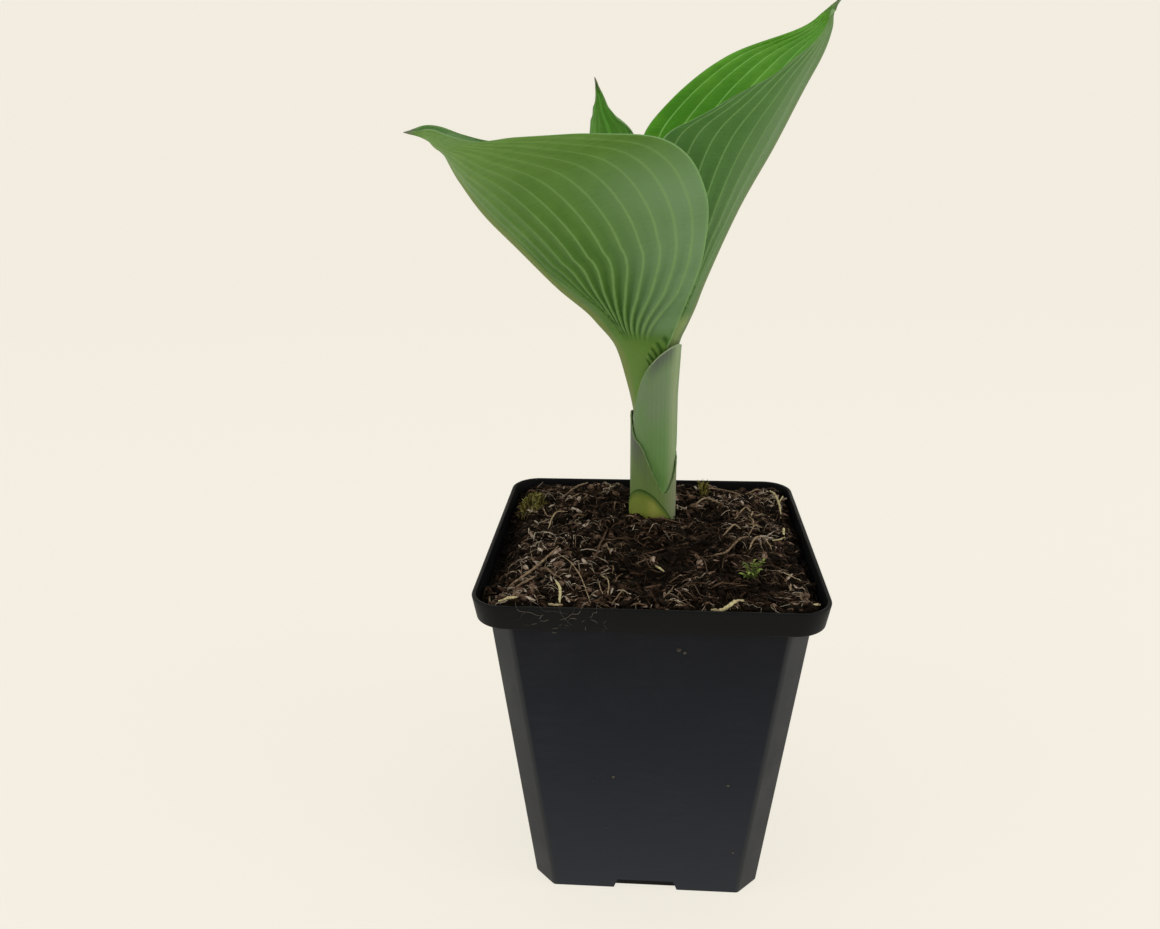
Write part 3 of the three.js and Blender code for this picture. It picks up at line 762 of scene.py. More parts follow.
UPPER_SCALE = ScaleFinish(
    name="upper_scale_skin", body=(110, 132, 99), lower=(98, 138, 72), light=(142, 158, 116),
    tip=(82, 88, 82), streak=(110, 132, 96), edge=(142, 160, 126), highlight_turn=0.906, highlight_width=0.085,
    tip_turn=0.8, tip_width=0.12, tip_depth=7.0, lower_height=(112.0, 138.0), edge_width=0.4,
)

# Its darker patch by the mouth on the left is painted shadow under the upper scale's edge.
LOWER_SCALE = ScaleFinish(
    name="lower_scale_skin", body=(94, 120, 64), lower=(104, 128, 66), light=(136, 142, 114),
    tip=(80, 84, 80), streak=(106, 124, 82), edge=(116, 140, 92), highlight_turn=0.94, highlight_width=0.15,
    tip_turn=0.53, tip_width=0.22, tip_depth=12.0, lower_height=(98.0, 118.0), edge_width=0.4,
    highlight_share=0.85,
)

# Its dark band under the mouth is painted shade beside its real dark edge.
BASE_SCALE = ScaleFinish(
    name="base_scale_skin", body=(118, 136, 54), lower=(132, 142, 60), light=(156, 160, 76),
    tip=(64, 96, 32), streak=(110, 126, 52), edge=(50, 80, 26), highlight_turn=0.75, highlight_width=0.06,
    tip_turn=0.75, tip_width=0.5, tip_depth=3.2, lower_height=(97.0, 105.0), edge_width=0.8,
)

# Painted shade on the collar and the shoulder, painted light towards the foot, and a painted reflection on
# the cut corners.
POT_PLASTIC = PlasticFinish(
    name="pot_plastic", collar=(9, 10, 12), shoulder=(11, 14, 21), waist=(23, 28, 38),
    foot=(38, 42, 50), corner=(46, 48, 51), dust=(52, 54, 58),
)

# A near-black copy of the plastic, painted shade for the faces under the floor.
POT_UNDERSIDE_SHADE = replace(
    POT_PLASTIC, name="pot_underside_painted_shade", foot=(4, 4, 5), waist=(4, 4, 5), corner=(4, 4, 5), dust=(10, 10, 11)
)

# The peat's near-black is its own dark brown deepened as painted shade for the gaps between the crumbs.
PEAT = PeatFinish(name="peat", dark=(11, 7, 3), middle=(26, 19, 11), light=(54, 41, 29))

CRUMBS = DebrisFinish(
    name="peat_crumbs",
    stops=((0.0, (11, 7, 3)), (0.45, (30, 22, 14)), (0.8, (64, 47, 35)), (1.0, (112, 92, 76))),
    grain=0.9, roughness=0.85,
)

BARK = DebrisFinish(
    name="bark_flakes",
    stops=((0.0, (17, 11, 6)), (0.5, (60, 43, 31)), (0.8, (120, 96, 80)), (1.0, (188, 174, 158))),
    grain=0.7, roughness=0.8,
)

FIBRES = DebrisFinish(
    name="peat_fibres",
    stops=((0.0, (19, 13, 8)), (0.4, (65, 49, 36)), (0.75, (130, 109, 88)), (1.0, (196, 184, 164))),
    grain=0.8, roughness=0.75,
)

HAIRS = DebrisFinish(
    name="hair_root_skin",
    stops=((0.0, (48, 45, 42)), (1.0, (112, 106, 95))),
    grain=0.8, roughness=0.7,
)

STRAW = DebrisFinish(
    name="straw_and_twigs",
    stops=((0.0, (44, 32, 26)), (0.35, (92, 72, 56)), (0.7, (148, 128, 102)), (1.0, (206, 198, 150))),
    grain=1.0, roughness=0.65,
)

MOSS = DebrisFinish(
    name="moss_green",
    stops=((0.0, (50, 46, 20)), (0.5, (112, 106, 48)), (1.0, (172, 166, 98))),
    grain=0.8, roughness=0.8,
)

WEED = DebrisFinish(
    name="weed_green",
    stops=((0.0, (46, 54, 26)), (0.5, (92, 108, 50)), (1.0, (156, 174, 90))),
    grain=0.5, roughness=0.6,
)

ROOT_FLESH = DebrisFinish(
    name="root_flesh",
    stops=((0.0, (170, 150, 110)), (1.0, (222, 208, 172))),
    grain=0.4, roughness=0.6,
)

STUDIO_PAPER = BackdropFinish(name="studio_paper", paper=(242, 237, 225), shade=(108, 106, 100), glow=0.88)


# ---------------------------------------------------------------- pot


class Corner(Enum):
    """How a corner of the pot's outline is made."""

    ROUND = "round"
    CUT = "cut"


@dataclass
class Pot:
    """The square pot: tapered walls with cut corners, a round-cornered collar, notches and a hub."""

    rim_width: float
    height: float
    wall: float = 0.9
    waist_width: float = 82.3
    floor_width: float = 64.6
    floor_underside: float = 3.4
    floor_top: float = 4.4
    rim_corner: float = 8.5
    body_cut: float = 5.8
    cut_fillet: float = 1.6
    collar_drop: float = 6.8
    collar_taper: float = 0.9
    collar_wall: float = 1.1
    ledge: float = 1.0
    lip_round: float = 0.45
    edge_round: float = 0.3
    notch_width: float = 19.0
    notch_top_width: float = 16.0
    # The short dark rib under the floor behind each notch, a sheet put there as painted shade for what shows
    # through the notch: its gap to the wall, its thickness and its foot.
    shade_rib_gap: float = 0.2
    shade_rib_wall: float = 0.8
    shade_rib_foot: float = 0.65
    # The hub under the floor, and the drain holes with their distance from the middle.
    hub_radius: float = 8.0
    drain_radius: float = 3.6
    drain_offset: float = 18.0
    post_sides: int = 48
    corner_steps: int = 7
    side_steps: int = 6
    # The specks of dried soil: where each lies along X, its height and its size.
    specks: tuple[Point, ...] = (
        (7.6, 84.8, 1.3),
        (9.1, 83.9, 0.9),
        (-9.1, 42.2, 0.9),
        (-14.6, 40.5, 0.6),
        (21.9, 40.6, 0.9),
        (24.5, 15.9, 0.75),
        (-11.2, 23.7, 0.6),
    )

    @property
    def collar_foot(self) -> float:
        """The height from which the collar stands out of the walls."""
        return self.height - self.collar_drop

    @property
    def ledge_top(self) -> float:
        """The height of the step inside the collar."""
        return self.collar_foot + self.ledge

    def wall_half(self, z: float) -> float:
        """Half the width of the outside wall at a height."""
        return mix(self.floor_width, self.waist_width, z / self.collar_foot) / 2

    def collar_half(self, z: float) -> float:
        """Half the width of the collar's outside at a height."""
        share = (z - self.collar_foot) / (self.collar_drop - self.lip_round)
        return self.rim_width / 2 - self.collar_taper * (1 - min(share, 1.0))

    def wall_ring(self, z: float, inset: float = 0.0, lift: float = 0.0) -> Array:
        """The walls' outline at a height, moved in by an inset and raised by a lift."""
        cut = self.body_cut - inset * (2 - math.sqrt(2))
        return self.ring(self.wall_half(z) - inset, cut, z + lift, Corner.CUT)

    def collar_ring(self, z: float, inset: float = 0.0) -> Array:
        """The collar's outline at a height, moved in by an inset."""
        return self.ring(self.collar_half(z) - inset, self.rim_corner - inset, z, Corner.ROUND)

    def ring(self, half: float, corner: float, z: float, kind: Corner) -> Array:
        """The outline at one height.

        Args:
            half: Half the width from flat to flat.
            corner: How far the corner reaches along each side.
            z: The height.
            kind: Whether the corner is cut straight or round.

        Returns:
            Its points, anticlockwise, with the first one repeated at the end.
        """
        if kind is Corner.ROUND:
            radius = corner
            first = second = (half - corner, half - corner)
        else:
            radius = min(self.cut_fillet, corner)
            tangent = radius * math.tan(math.pi / 8)
            first = (half - radius, half - corner - tangent)
            second = (half - corner - tangent, half - radius)
        points = []
        for centre, start in ((first, 0.0), (second, math.pi / 4)):
            for angle in np.linspace(start, start + math.pi / 4, self.corner_steps):
                points.append((centre[0] + radius * math.cos(angle), centre[1] + radius * math.sin(angle)))
        reach = second[0]
        for share in np.linspace(1.0, -1.0, self.side_steps + 1)[1:-1]:
            points.append((reach * share, half))
        quarter = np.array(points)
        turned = [quarter @ np.array([[math.cos(t), math.sin(t)], [-math.sin(t), math.cos(t)]])
                  for t in np.arange(4) * math.pi / 2]
        outline = np.vstack([*turned, turned[0][:1]])
        return np.column_stack([outline, np.full(len(outline), z)])

    def lip_rings(self) -> list[Array]:
        """The rings over the collar's rounded lip, from the outside to the inside."""
        lip = self.lip_round
        foot = self.height - lip
        angles = np.linspace(0.0, math.pi / 2, 5)
        outer = [(lip * (1 - math.cos(angle)), foot + lip * math.sin(angle)) for angle in angles]
        inner = [(self.collar_wall - inset, z) for inset, z in reversed(outer)]
        return [self.collar_ring(z, inset) for inset, z in outer + inner]

    def profile(self) -> list[Array]:
        """The rings from under the floor, up the outside, over the lip and down the inside."""
        wall, edge, foot = self.wall, self.edge_round, self.collar_foot
        return [
            self.wall_ring(0, wall, self.floor_underside),
            self.wall_ring(0, wall, edge),
            self.wall_ring(0, wall - edge),
            self.wall_ring(0, edge),
            self.wall_ring(edge),
            self.wall_ring(foot / 2),
            self.wall_ring(foot - edge),
            self.wall_ring(foot, -edge),
            self.collar_ring(foot, edge),
            self.collar_ring(foot + edge),
            *self.lip_rings(),
            self.collar_ring(self.ledge_top + edge, self.collar_wall),
            self.collar_ring(self.ledge_top, self.collar_wall + edge),
            self.wall_ring(self.ledge_top, wall - edge),
            self.wall_ring(self.ledge_top - edge, wall),
            self.wall_ring(foot / 2, wall),
            self.wall_ring(self.floor_top, wall),
        ]

    def block(self, name: str, widths: Pair, reach: Pair, heights: Pair, turn: float) -> Piece:
        """A block across the pot's foot.

        Args:
            name: Its name.
            widths: Its width at its bottom and at its top.
            reach: Where it starts and ends along Y, before it is turned.
            heights: Its bottom and its top.
            turn: Its turn about the upright axis.

        Returns:
            The block.
        """
        deselect_all()
        bpy.ops.mesh.primitive_cube_add(size=1.0, location=(0, 0, 0))
        block = named(name)
        for vertex in block.data.vertices:
            x, y, z = vertex.co
            vertex.co = Vector((math.copysign(widths[z > 0] / 2, x), reach[y > 0], heights[z > 0])) * MM
        block.data.transform(Matrix.Rotation(turn, 4, "Z"))
        return block

    def post(self, name: str, radius: float, x: float, y: float, top: float) -> Piece:
        """An upright cylinder that stands on the ground, in millimetres."""
        deselect_all()
        bpy.ops.mesh.primitive_cylinder_add(
            vertices=self.post_sides, radius=radius * MM, depth=top * MM,
            location=(x * MM, y * MM, top / 2 * MM),
        )
        post = named(name)
        bpy.ops.object.transform_apply(location=True, rotation=True, scale=True)
        return post

    def combine(self, pot: Piece, tool: Piece, operation: str) -> None:
        """Cuts a tool out of the pot or joins it on, and removes the tool."""
        apply_modifier(pot, "BOOLEAN", operation=operation, object=tool, solver="EXACT")
        bpy.data.objects.remove(tool)

    def build(self) -> None:
        """Makes the pot as one closed body."""
        rings = self.profile()
        pot = grid_piece("square_pot", len(rings[0]) - 1, len(rings) - 1, np.vstack(rings))
        weld(pot, cap_ends=True)
        quarters = np.arange(4) * math.pi / 2
        half = self.rim_width / 2
        notch = ((self.notch_width, self.notch_top_width), (-half, half), (-self.wall, self.floor_underside))
        for turn in quarters[:2]:
            self.combine(pot, self.block("notch_bar", *notch, turn), "DIFFERENCE")
        for angle in quarters + math.pi / 4:
            spot = (self.drain_offset * math.cos(angle), self.drain_offset * math.sin(angle))
            self.combine(pot, self.post("drain", self.drain_radius, *spot, 2 * self.floor_top), "DIFFERENCE")
        inside_floor = mix(self.floor_underside, self.floor_top, 0.5)
        # Dark ribs behind the notches, put there as painted shade for what shows through them.
        back = self.floor_width / 2 - self.wall - self.shade_rib_gap
        rib = ((self.notch_width,) * 2, (back - self.shade_rib_wall, back), (self.shade_rib_foot, inside_floor))
        for turn in quarters:
            self.combine(pot, self.block("notch_shade_rib", *rib, turn), "UNION")
        self.combine(pot, self.post("hub", self.hub_radius, 0, 0, inside_floor), "UNION")
        self.dress(pot, inside_floor)
        smooth(pot, 32)
        present(pot, "pot_plastic", "pot")

    def dress(self, pot: Piece, inside_floor: float) -> None:
        """Gives the pot its plastic, and a near-black copy as painted shade on the faces under the floor."""
        corner_reach = tuple(2 * self.wall_half(z) - self.body_cut for z in (0.0, self.collar_foot))
        pot.data.materials.clear()
        for finish in (POT_PLASTIC, POT_UNDERSIDE_SHADE):
            pot.data.materials.append(finish.material(self.collar_foot, corner_reach))
        # Faces under the floor, on the hub and on the ribs take the near-black painted shade.
        inside = self.floor_width / 2 - self.wall - self.shade_rib_gap / 2
        for face in pot.data.polygons:
            x, y, z = face.center / MM
            face.material_index = int(max(abs(x), abs(y)) < inside and z < inside_floor)

    def build_specks(self) -> None:
        """Makes the specks of dried soil that stick to the front wall."""
        batch = Batch("soil_specks")
        vertices, faces = pebble()
        for index, (x, z, size) in enumerate(self.specks):
            spot = np.array([x, -self.wall_half(z), z])
            flat = vertices * (0.55 * size, 0.22, 0.5 * size)
            batch.add(flat + spot, faces, 0.25 + 0.1 * (index % 3))
        batch.present(HAIRS.material(), "potting_soil")


# ---------------------------------------------------------------- leaves


@dataclass
class Shoot:
    """The axis that the leaves' stalks and the bud scales are rolled round."""

    x: float = 0.7
    y: float = 14.0
    foot: float = 88.0

    def point(self, radius: Array, angle: Array, z: Array) -> Array:
        """The point at a distance and direction from the axis, and at a height."""
        x = self.x + radius * np.cos(angle)
        y = self.y + radius * np.sin(angle)
        return np.stack(np.broadcast_arrays(x, y, z), axis=-1)

    def station(self, radius: float, rib_angle: float, sweep: float, z: float) -> Station:
        """A station of a rolled stalk: its midrib and its two margins."""
        angles = np.radians([rib_angle, rib_angle + sweep, rib_angle - sweep])
        return tuple(map(tuple, self.point(radius, angles, z)))


SHOOT = Shoot()


@dataclass
class Leaf:
    """A leaf that is rolled round the shoot at its foot and opens into a ribbed blade."""

    name: str
    node: str
    slot: str
    stations: Sequence[Station]
    # Between which stations the rolled stalk opens into the blade.
    opens: Pair
    # 1 or -1, for the side of the sheet that is its underside.
    outside: int
    # Where the sheaf of veins begins and ends to spread, as places along the leaf.
    throat: Pair
    # How many veins there are on the near and on the far half.
    veins: tuple[int, int]
    # The finishes of its underside and of its upper side.
    finishes: tuple[LeafFinish, LeafFinish]
    # Where the painted grey sheen comes in across the half and where it ends along the leaf.
    painted_sheen: Pair
    sheen_ends: Pair
    # Where along the leaf its colour ripens, and from where its tip dries.
    ripe_from: Pair
    tip_from: float
    # How far the half bulges out beside the midrib, and how far it heads straight for its margin.
    roundness: float = 0.9
    flatness: float = 0.15
    columns: int = 176
    rows: int = 262
    # The vein-free bands beside the midrib, over the blade and at the throat, and at the margin.
    rib_share: float = 0.04
    gather: float = 0.33
    margin_gap: float = 0.2
    # How wide the midrib's colour is over the blade and at the throat, as shares of the half.
    band: Pair = (0.05, 0.16)
    # The leaf's thickness, its margin's share of it, and how wide the thinner margin is.
    thickness: float = 0.42
    margin_share: float = 0.4
    margin_width: float = 1.6
    # How far the midrib stands out under the leaf, and its half width.
    keel: float = 0.95
    keel_width: float = 1.7
    # The pleats' heights at the throat and over the blade, and the veins' height and half width.
    deep_pleat: float = 0.34
    flat_pleat: float = 0.13
    vein_ridge: float = 0.07
    vein_line: float = 0.46
    # How clearly the veins by the midrib and those further out show, where along the leaf they all
    # fade, and how far the margin waves.
    first_veins: Pair = (0.5, 1.0)
    vein_ends: Pair = (0.62, 0.88)
    wave: float = 0.35
    # The crimped band: its folds' height and length, and where it starts and ends along the leaf, at
    # the midrib and at the margin.
    crimp: float = 0.0
    crimp_wave: float = 0.031
    crimp_foot: Pair = (0.2576, 0.3876)
    crimp_top: Pair = (0.2508, 0.4308)

    def surface(self, u: Array, s: Array) -> Array:
        """The leaf's middle surface.

        Args:
            u: Places along the leaf, from 0 at its foot to 1 at its tip.
            s: Places across it, from one margin (-1) over the midrib (0) to the other (1).

        Returns:
            The points, in millimetres.
        """
        rails = np.array(self.stations, float)
        rib, near, far = (smooth_curve(rails[:, rail], u) for rail in range(3))
        margin = np.where(s[..., None] >= 0, near, far)
        k = np.abs(s)[..., None]
        opened = ease(u * (len(rails) - 1), *self.opens)[..., None]
        return mix(self.rolled(rib, margin, k), self.open_blade(u, rib, near, far, margin, k), opened)

    def rolled(self, rib: Array, margin: Array, k: Array) -> Array:
        """The arc round the shoot's axis, from the midrib (k = 0) to a margin (k = 1)."""
        def polar(points: Array) -> tuple[Array, Array]:
            """The distance and direction of points from the axis."""
            across = points[..., 0] - SHOOT.x
            back = points[..., 1] - SHOOT.y
            return np.hypot(across, back), np.arctan2(back, across)

        rib_radius, rib_angle = polar(rib)
        margin_radius, margin_angle = polar(margin)
        share = k[..., 0]
        turn = np.mod(margin_angle - rib_angle + math.pi, FULL_TURN) - math.pi
        radius = mix(margin_radius, rib_radius, (1 - share) ** 4)
        height = mix(rib[..., 2], margin[..., 2], share**2)
        return SHOOT.point(radius, rib_angle + turn * share, height)

    def open_blade(self, u: Array, rib: Array, near: Array, far: Array, margin: Array, k: Array) -> Array:
        """The curve that leaves the midrib sideways and ends on a margin."""
        ribs = np.array([station[0] for station in self.stations], float)
        along = unit(change(lambda place: smooth_curve(ribs, place), u, 0.01))
        side = unit(np.cross(along, (near + far) / 2 - rib))
        reach = margin - rib
        sideways = side * np.sum(reach * side, axis=-1, keepdims=True)
        pull = rib + sideways * self.roundness + (reach - sideways) * self.flatness
        return (1 - k) ** 2 * rib + 2 * k * (1 - k) * pull + k**2 * margin

    def facing(self, u: Array, s: Array) -> Array:
        """The direction in which the leaf's underside faces."""
        along_u = change(lambda place: self.surface(place, s), u, 0.002)
        along_s = change(lambda place: self.surface(u, place), s, 0.002, -1.0)
        return self.outside * unit(np.cross(along_u, along_s))

    def row_places(self) -> Array:
        """Where the rows lie along the leaf: closest together about the throat."""
        start = self.throat[0]
        share = np.linspace(0.0, 1.0, self.rows + 1)
        return np.interp(share, (0.0, 0.1, 0.38, 1.0), (0.0, start - 0.05, start + 0.06, 1.0))

    def fan(self, u: Array, k: Array) -> Array:
        """The share of the veins that lie between the midrib and each place.

        The veins leave the midrib in a narrow sheaf at the throat and spread out over the blade.
        """
        start, end = self.throat
        gathered = 1 - ease(u, start, end)
        low = self.rib_share + self.gather * np.sqrt(gathered)
        high = 1 - self.margin_gap * (1 - ease(u, start, start + 0.1))
        spread = np.clip((k - low) / (high - low), 0, 1) ** (1 / (1 + 2 * gathered))
        return mix(spread, spread**6, 0.14)

    def crimping(self, u: Array, s: Array) -> tuple[Array, Array]:
        """Where the near margin is crimped above the upper scale's lip, and its folds' heights."""
        k = np.abs(s)
        foot = mix(*self.crimp_foot, k)
        top = mix(*self.crimp_top, k)
        share = (u - foot) / (top - foot)
        shown = ease(share, -0.25, 0.1) * (1 - ease(share, 0.7, 1.15)) * ease(k, 0.56, 0.68) * (s > 0)
        return shown, np.sin((u + 0.25 * k) * FULL_TURN / self.crimp_wave)

    def numbers(self, u: Array, s: Array, points: Array) -> dict[str, Array]:
        """The numbers that shape and colour the leaf at each vertex.

        Args:
            u: Places along the leaf.
            s: Places across it.
            points: The surface's points there, row by row.

        Returns:
            Named arrays in the shape of u.
        """
        steps = np.linalg.norm(np.diff(points, axis=1), axis=-1)
        walked = np.concatenate([np.zeros((len(steps), 1)), np.cumsum(steps, axis=1)], axis=1)
        middle = self.columns // 2
        rib_distance = np.abs(walked - walked[:, [middle]])
        edge = np.minimum(walked, walked[:, [-1]] - walked)
        rib_steps = np.linalg.norm(np.diff(points[:, middle], axis=0), axis=-1)
        along = np.concatenate([[0.0], np.cumsum(rib_steps)])[:, None] + 0 * u
        k = np.abs(s)
        start, end = self.throat
        fan = self.fan(u, k)
        phase = fan * np.where(s >= 0, *self.veins)
        spacing = np.abs(np.gradient(rib_distance, axis=1) / (np.gradient(phase, axis=1) + 1e-6))
        opened = ease(u, start - 0.02, start + 0.05)
        tip_fade = 1 - ease(u, *self.vein_ends)
        margin_fade = 1 - ease(fan, 0.9, 1.0)
        inside = ease(phase, 0.0, 0.6)
        band = mix(*self.band, 1 - ease(u, start, end))
        crimped, folds = self.crimping(u, s)
        return {
            "vein": phase,
            "vein_width": np.clip(self.vein_line / np.maximum(spacing, 0.3), 0.06, 0.4),
            "vein_show": mix(*self.first_veins, ease(phase, 0.5, 5.0)) * inside * margin_fade
            * mix(0.1, 1.0, tip_fade) * ease(u, start, start + 0.035),
            "rib": (1 - ease(k, 0.6 * band, 1.4 * band)) * mix(1.0, 0.5, ease(u, end, 0.95)),
            "rolled": 1 - ease(u, start - 0.01, start + 0.03),
            # Where the painted shade in the throat's pleats lies.
            "pleat_shade": inside * ease(u, start, start + 0.03) * (1 - ease(u, start + 0.05, end + 0.1)),
            # Darkens the crimped folds' valleys as painted shade; the folds' height itself is real.
            "crimp": (self.crimp > 0) * crimped * (0.5 - 0.5 * folds),
            "ripe": ease(u, *self.ripe_from),
            # Where the painted sheen lies.
            "painted_sheen": ease(k, *self.painted_sheen) * (1 - ease(u, *self.sheen_ends)) * opened,
            "tip": ease(u, self.tip_from, 1.0),
            "edge": edge,
            "along_mm": along,
            "rib_distance": rib_distance,
            "relief": opened * margin_fade * mix(0.2, 1.0, tip_fade),
            "depth": mix(self.deep_pleat, self.flat_pleat, ease(u, end - 0.05, end + 0.15)),
            "opened": opened,
            "crimps": self.crimp * crimped * folds,
        }

    def displacement(self, u: Array, s: Array, numbers: dict[str, Array]) -> Array:
        """How far the underside stands out of the plain surface, in millimetres."""
        phase = numbers["vein"]
        off_vein = np.abs(phase - np.round(phase))
        pleats = numbers["depth"] * np.cos(FULL_TURN * phase) * ease(phase, 0.0, 0.5)
        ridges = self.vein_ridge * hill(off_vein, 0.0, 0.1)
        keel = self.keel * hill(numbers["rib_distance"], 0.0, self.keel_width) * numbers["opened"]
        keel *= 1 - ease(u, 0.8, 0.98)
        wander = np.sin(u * 61.0 + 2.0 * s) + 0.6 * np.sin(u * 97.0 - s)
        waves = self.wave * wander * np.abs(s) ** 6 * numbers["opened"] * (1 - ease(u, 0.93, 1.0))
        return (pleats + ridges) * numbers["relief"] + keel + waves + numbers["crimps"]

    def build(self) -> None:
        """Makes the leaf as a thin closed body with a finish on each face."""
        across = np.linspace(-1.0, 1.0, self.columns + 1) * -self.outside
        s, u = np.meshgrid(across, self.row_places())
        points = self.surface(u, s)
        numbers = self.numbers(u, s, points)
        lift = self.displacement(u, s, numbers)
        lift[-1] = 0.0
        points = points + self.facing(u, s) * lift[..., None]
        leaf = grid_piece(self.name, self.columns, self.rows, points.reshape(-1, 3))
        for name in LEAF_NUMBERS:
            set_attribute(leaf, name, numbers[name])
        self.thicken(leaf, numbers["edge"].ravel())
        smooth(leaf)
        present(leaf, self.slot, self.node)

    def thicken(self, leaf: Piece, edge: Array) -> None:
        """Gives the sheet its thickness, thinner towards its margins."""
        group = leaf.vertex_groups.new(name="thickness")
        for index, weight in enumerate(mix(self.margin_share, 1.0, ease(edge, 0.0, self.margin_width))):
            group.add([index], float(weight), "REPLACE")
        weld(leaf)
        for finish in self.finishes:
            leaf.data.materials.append(finish.material())
        apply_modifier(
            leaf, "SOLIDIFY", thickness=self.thickness * MM, offset=0.0, use_rim=True,
            material_offset=1, material_offset_rim=0, vertex_group="thickness",
        )
        leaf.vertex_groups.clear()


# The numbers that a leaf's material reads.
LEAF_NUMBERS = (
    "vein", "vein_width", "vein_show", "rib", "rolled", "pleat_shade", "crimp", "ripe", "painted_sheen", "tip", "edge",
    "along_mm",
)


def left_leaf() -> Leaf:
    """The large leaf that leans to the left, with its underside to the front."""
    tip = (-71.0, 29.0, 207.6)
    return Leaf(
        name="leaf_blade_left", node="leaf_left", slot="leaf_blade",
        stations=(
            SHOOT.station(4.6, 180, 150, SHOOT.foot),
            SHOOT.station(4.6, 180, 150, 108),
            SHOOT.station(4.6, 180, 150, 122),
            ((-5.2, 14, 131.5), (4.6, 10.6, 132.5), (3.9, 17.2, 132.5)),
            ((-7.2, 14.3, 140), (4.3, 10.1, 141.5), (4, 17.5, 141.5)),
            ((-10.5, 15, 150), (4.1, 9.3, 150), (3.8, 18.5, 149.6)),
            ((-16.4, 16.3, 158.4), (8, 3.3, 162), (7, 26, 161)),
            ((-26.4, 18, 166.5), (12.6, -3, 178), (10, 35, 174)),
            ((-37.4, 20.5, 176.8), (12.2, -8, 194), (8, 41, 189)),
            ((-47.3, 22.8, 186.2), (2.1, -10.5, 205.5), (-3, 43.5, 201)),
            ((-54.2, 25, 195.1), (-22, -7.5, 206.9), (-25, 43, 203.8)),
            ((-59.3, 27, 203.2), (-45.5, 4.5, 205.3), (-50, 38.5, 205.2)),
            ((-65, 28.4, 206.2), (-61.5, 24, 208), (-63, 32, 209.4)),
            (tip, tip, tip),
        ),
        opens=(3.6, 6.0), outside=-1, throat=(0.4, 0.57), veins=(12, 10),
        finishes=(LEFT_UNDERSIDE, LEFT_UPPER), painted_sheen=(0.5, 0.95), sheen_ends=(0.62, 0.72),
        ripe_from=(0.6, 0.85), tip_from=0.95, deep_pleat=0.26, crimp=0.3, vein_line=0.6,
        first_veins=(0.1, 1.0), vein_ends=(0.56, 0.84),
    )


def right_leaf() -> Leaf:
    """The tall leaf that leans to the right and shows both its faces."""
    tip = (49.2, 30.0, 240.8)
    return Leaf(
        name="leaf_blade_right", node="leaf_right", slot="leaf_blade",
        stations=(
            SHOOT.station(3.6, 0, -150, SHOOT.foot),
            SHOOT.station(3.6, 0, -150, 108),
            SHOOT.station(3.6, 0, -150, 122),
            SHOOT.station(3.6, 0, -125, 136),
            ((7.2, 14, 150.5), (1.2, 10.7, 151), (1.2, 17.3, 151)),
            ((9.8, 14.1, 157), (1, 8.8, 158), (0.6, 20.4, 158)),
            ((13.3, 15, 167.6), (0.3, 6, 166), (-0.5, 25, 167)),
            ((22.1, 18.8, 187.2), (-1.9, 1.8, 185.7), (-4.2, 33, 184)),
            ((31.1, 22.9, 203), (1, 3, 204.4), (-4.2, 38, 203.6)),
            ((38.3, 26, 216.9), (14.2, 8.1, 212.2), (4.3, 41, 215.5)),
            ((43.2, 28, 226), (27.5, 16, 218.9), (19.6, 40.5, 226.6)),
            ((45.4, 29.1, 232.2), (41, 24.5, 227.6), (38.4, 35.6, 232.9)),
            ((46.2, 29.8, 236.2), (45.8, 29.2, 235.8), (44.2, 30.8, 236.7)),
            (tip, tip, tip),
        ),
        opens=(3.4, 6.0), outside=1, throat=(0.39, 0.52), veins=(8, 8),
        finishes=(RIGHT_UNDERSIDE, RIGHT_UPPER), painted_sheen=(0.65, 0.05), sheen_ends=(0.95, 1.0),
        ripe_from=(0.62, 0.9), tip_from=0.9, band=(0.03, 0.1), keel=0.6, keel_width=1.2,
        flat_pleat=0.05, deep_pleat=0.2, vein_line=0.4, vein_ends=(0.85, 0.97),
    )


def inner_leaf() -> Leaf:
    """The youngest leaf, still rolled, with only its tip above the others."""
    tip = (-16.2, 18.0, 220.8)
    return Leaf(
        name="leaf_blade_inner", node="leaf_inner", slot="young_leaf",
        stations=(
            SHOOT.station(2.5, 90, 150, SHOOT.foot),
            SHOOT.station(2.5, 90, 150, 112),
            SHOOT.station(2.5, 90, 150, 134),
            ((-0.7, 16.5, 152), (-2.1, 12, 152), (0.7, 12, 152)),
            ((-5, 21, 176), (-7.5, 13.5, 176), (-1, 13.5, 176)),
            ((-10.5, 22.5, 197), (-16.5, 13.5, 198), (-3, 13.5, 198)),
            ((-12.5, 21, 207), (-17.2, 14, 207), (-6, 14.5, 206.5)),
            ((-14.3, 19.8, 212), (-16.6, 15.5, 212), (-11.4, 15.8, 211.5)),
            ((-15.2, 18.8, 216.5), (-15.7, 17, 216.3), (-14, 17, 216.2)),
            (tip, tip, tip),
        ),
        opens=(2.2, 3.6), outside=-1, throat=(0.3, 0.45), veins=(4, 4),
        finishes=(YOUNG_UNDERSIDE, YOUNG_UPPER), painted_sheen=(0.4, 0.9), sheen_ends=(0.95, 1.0),
        ripe_from=(0.5, 0.9), tip_from=0.88, roundness=1.0, flatness=0.1, columns=96, rows=120,
        keel=0.5, keel_width=1.1, deep_pleat=0.14, flat_pleat=0.09, wave=0.12,
    )


# ---------------------------------------------------------------- bud scales


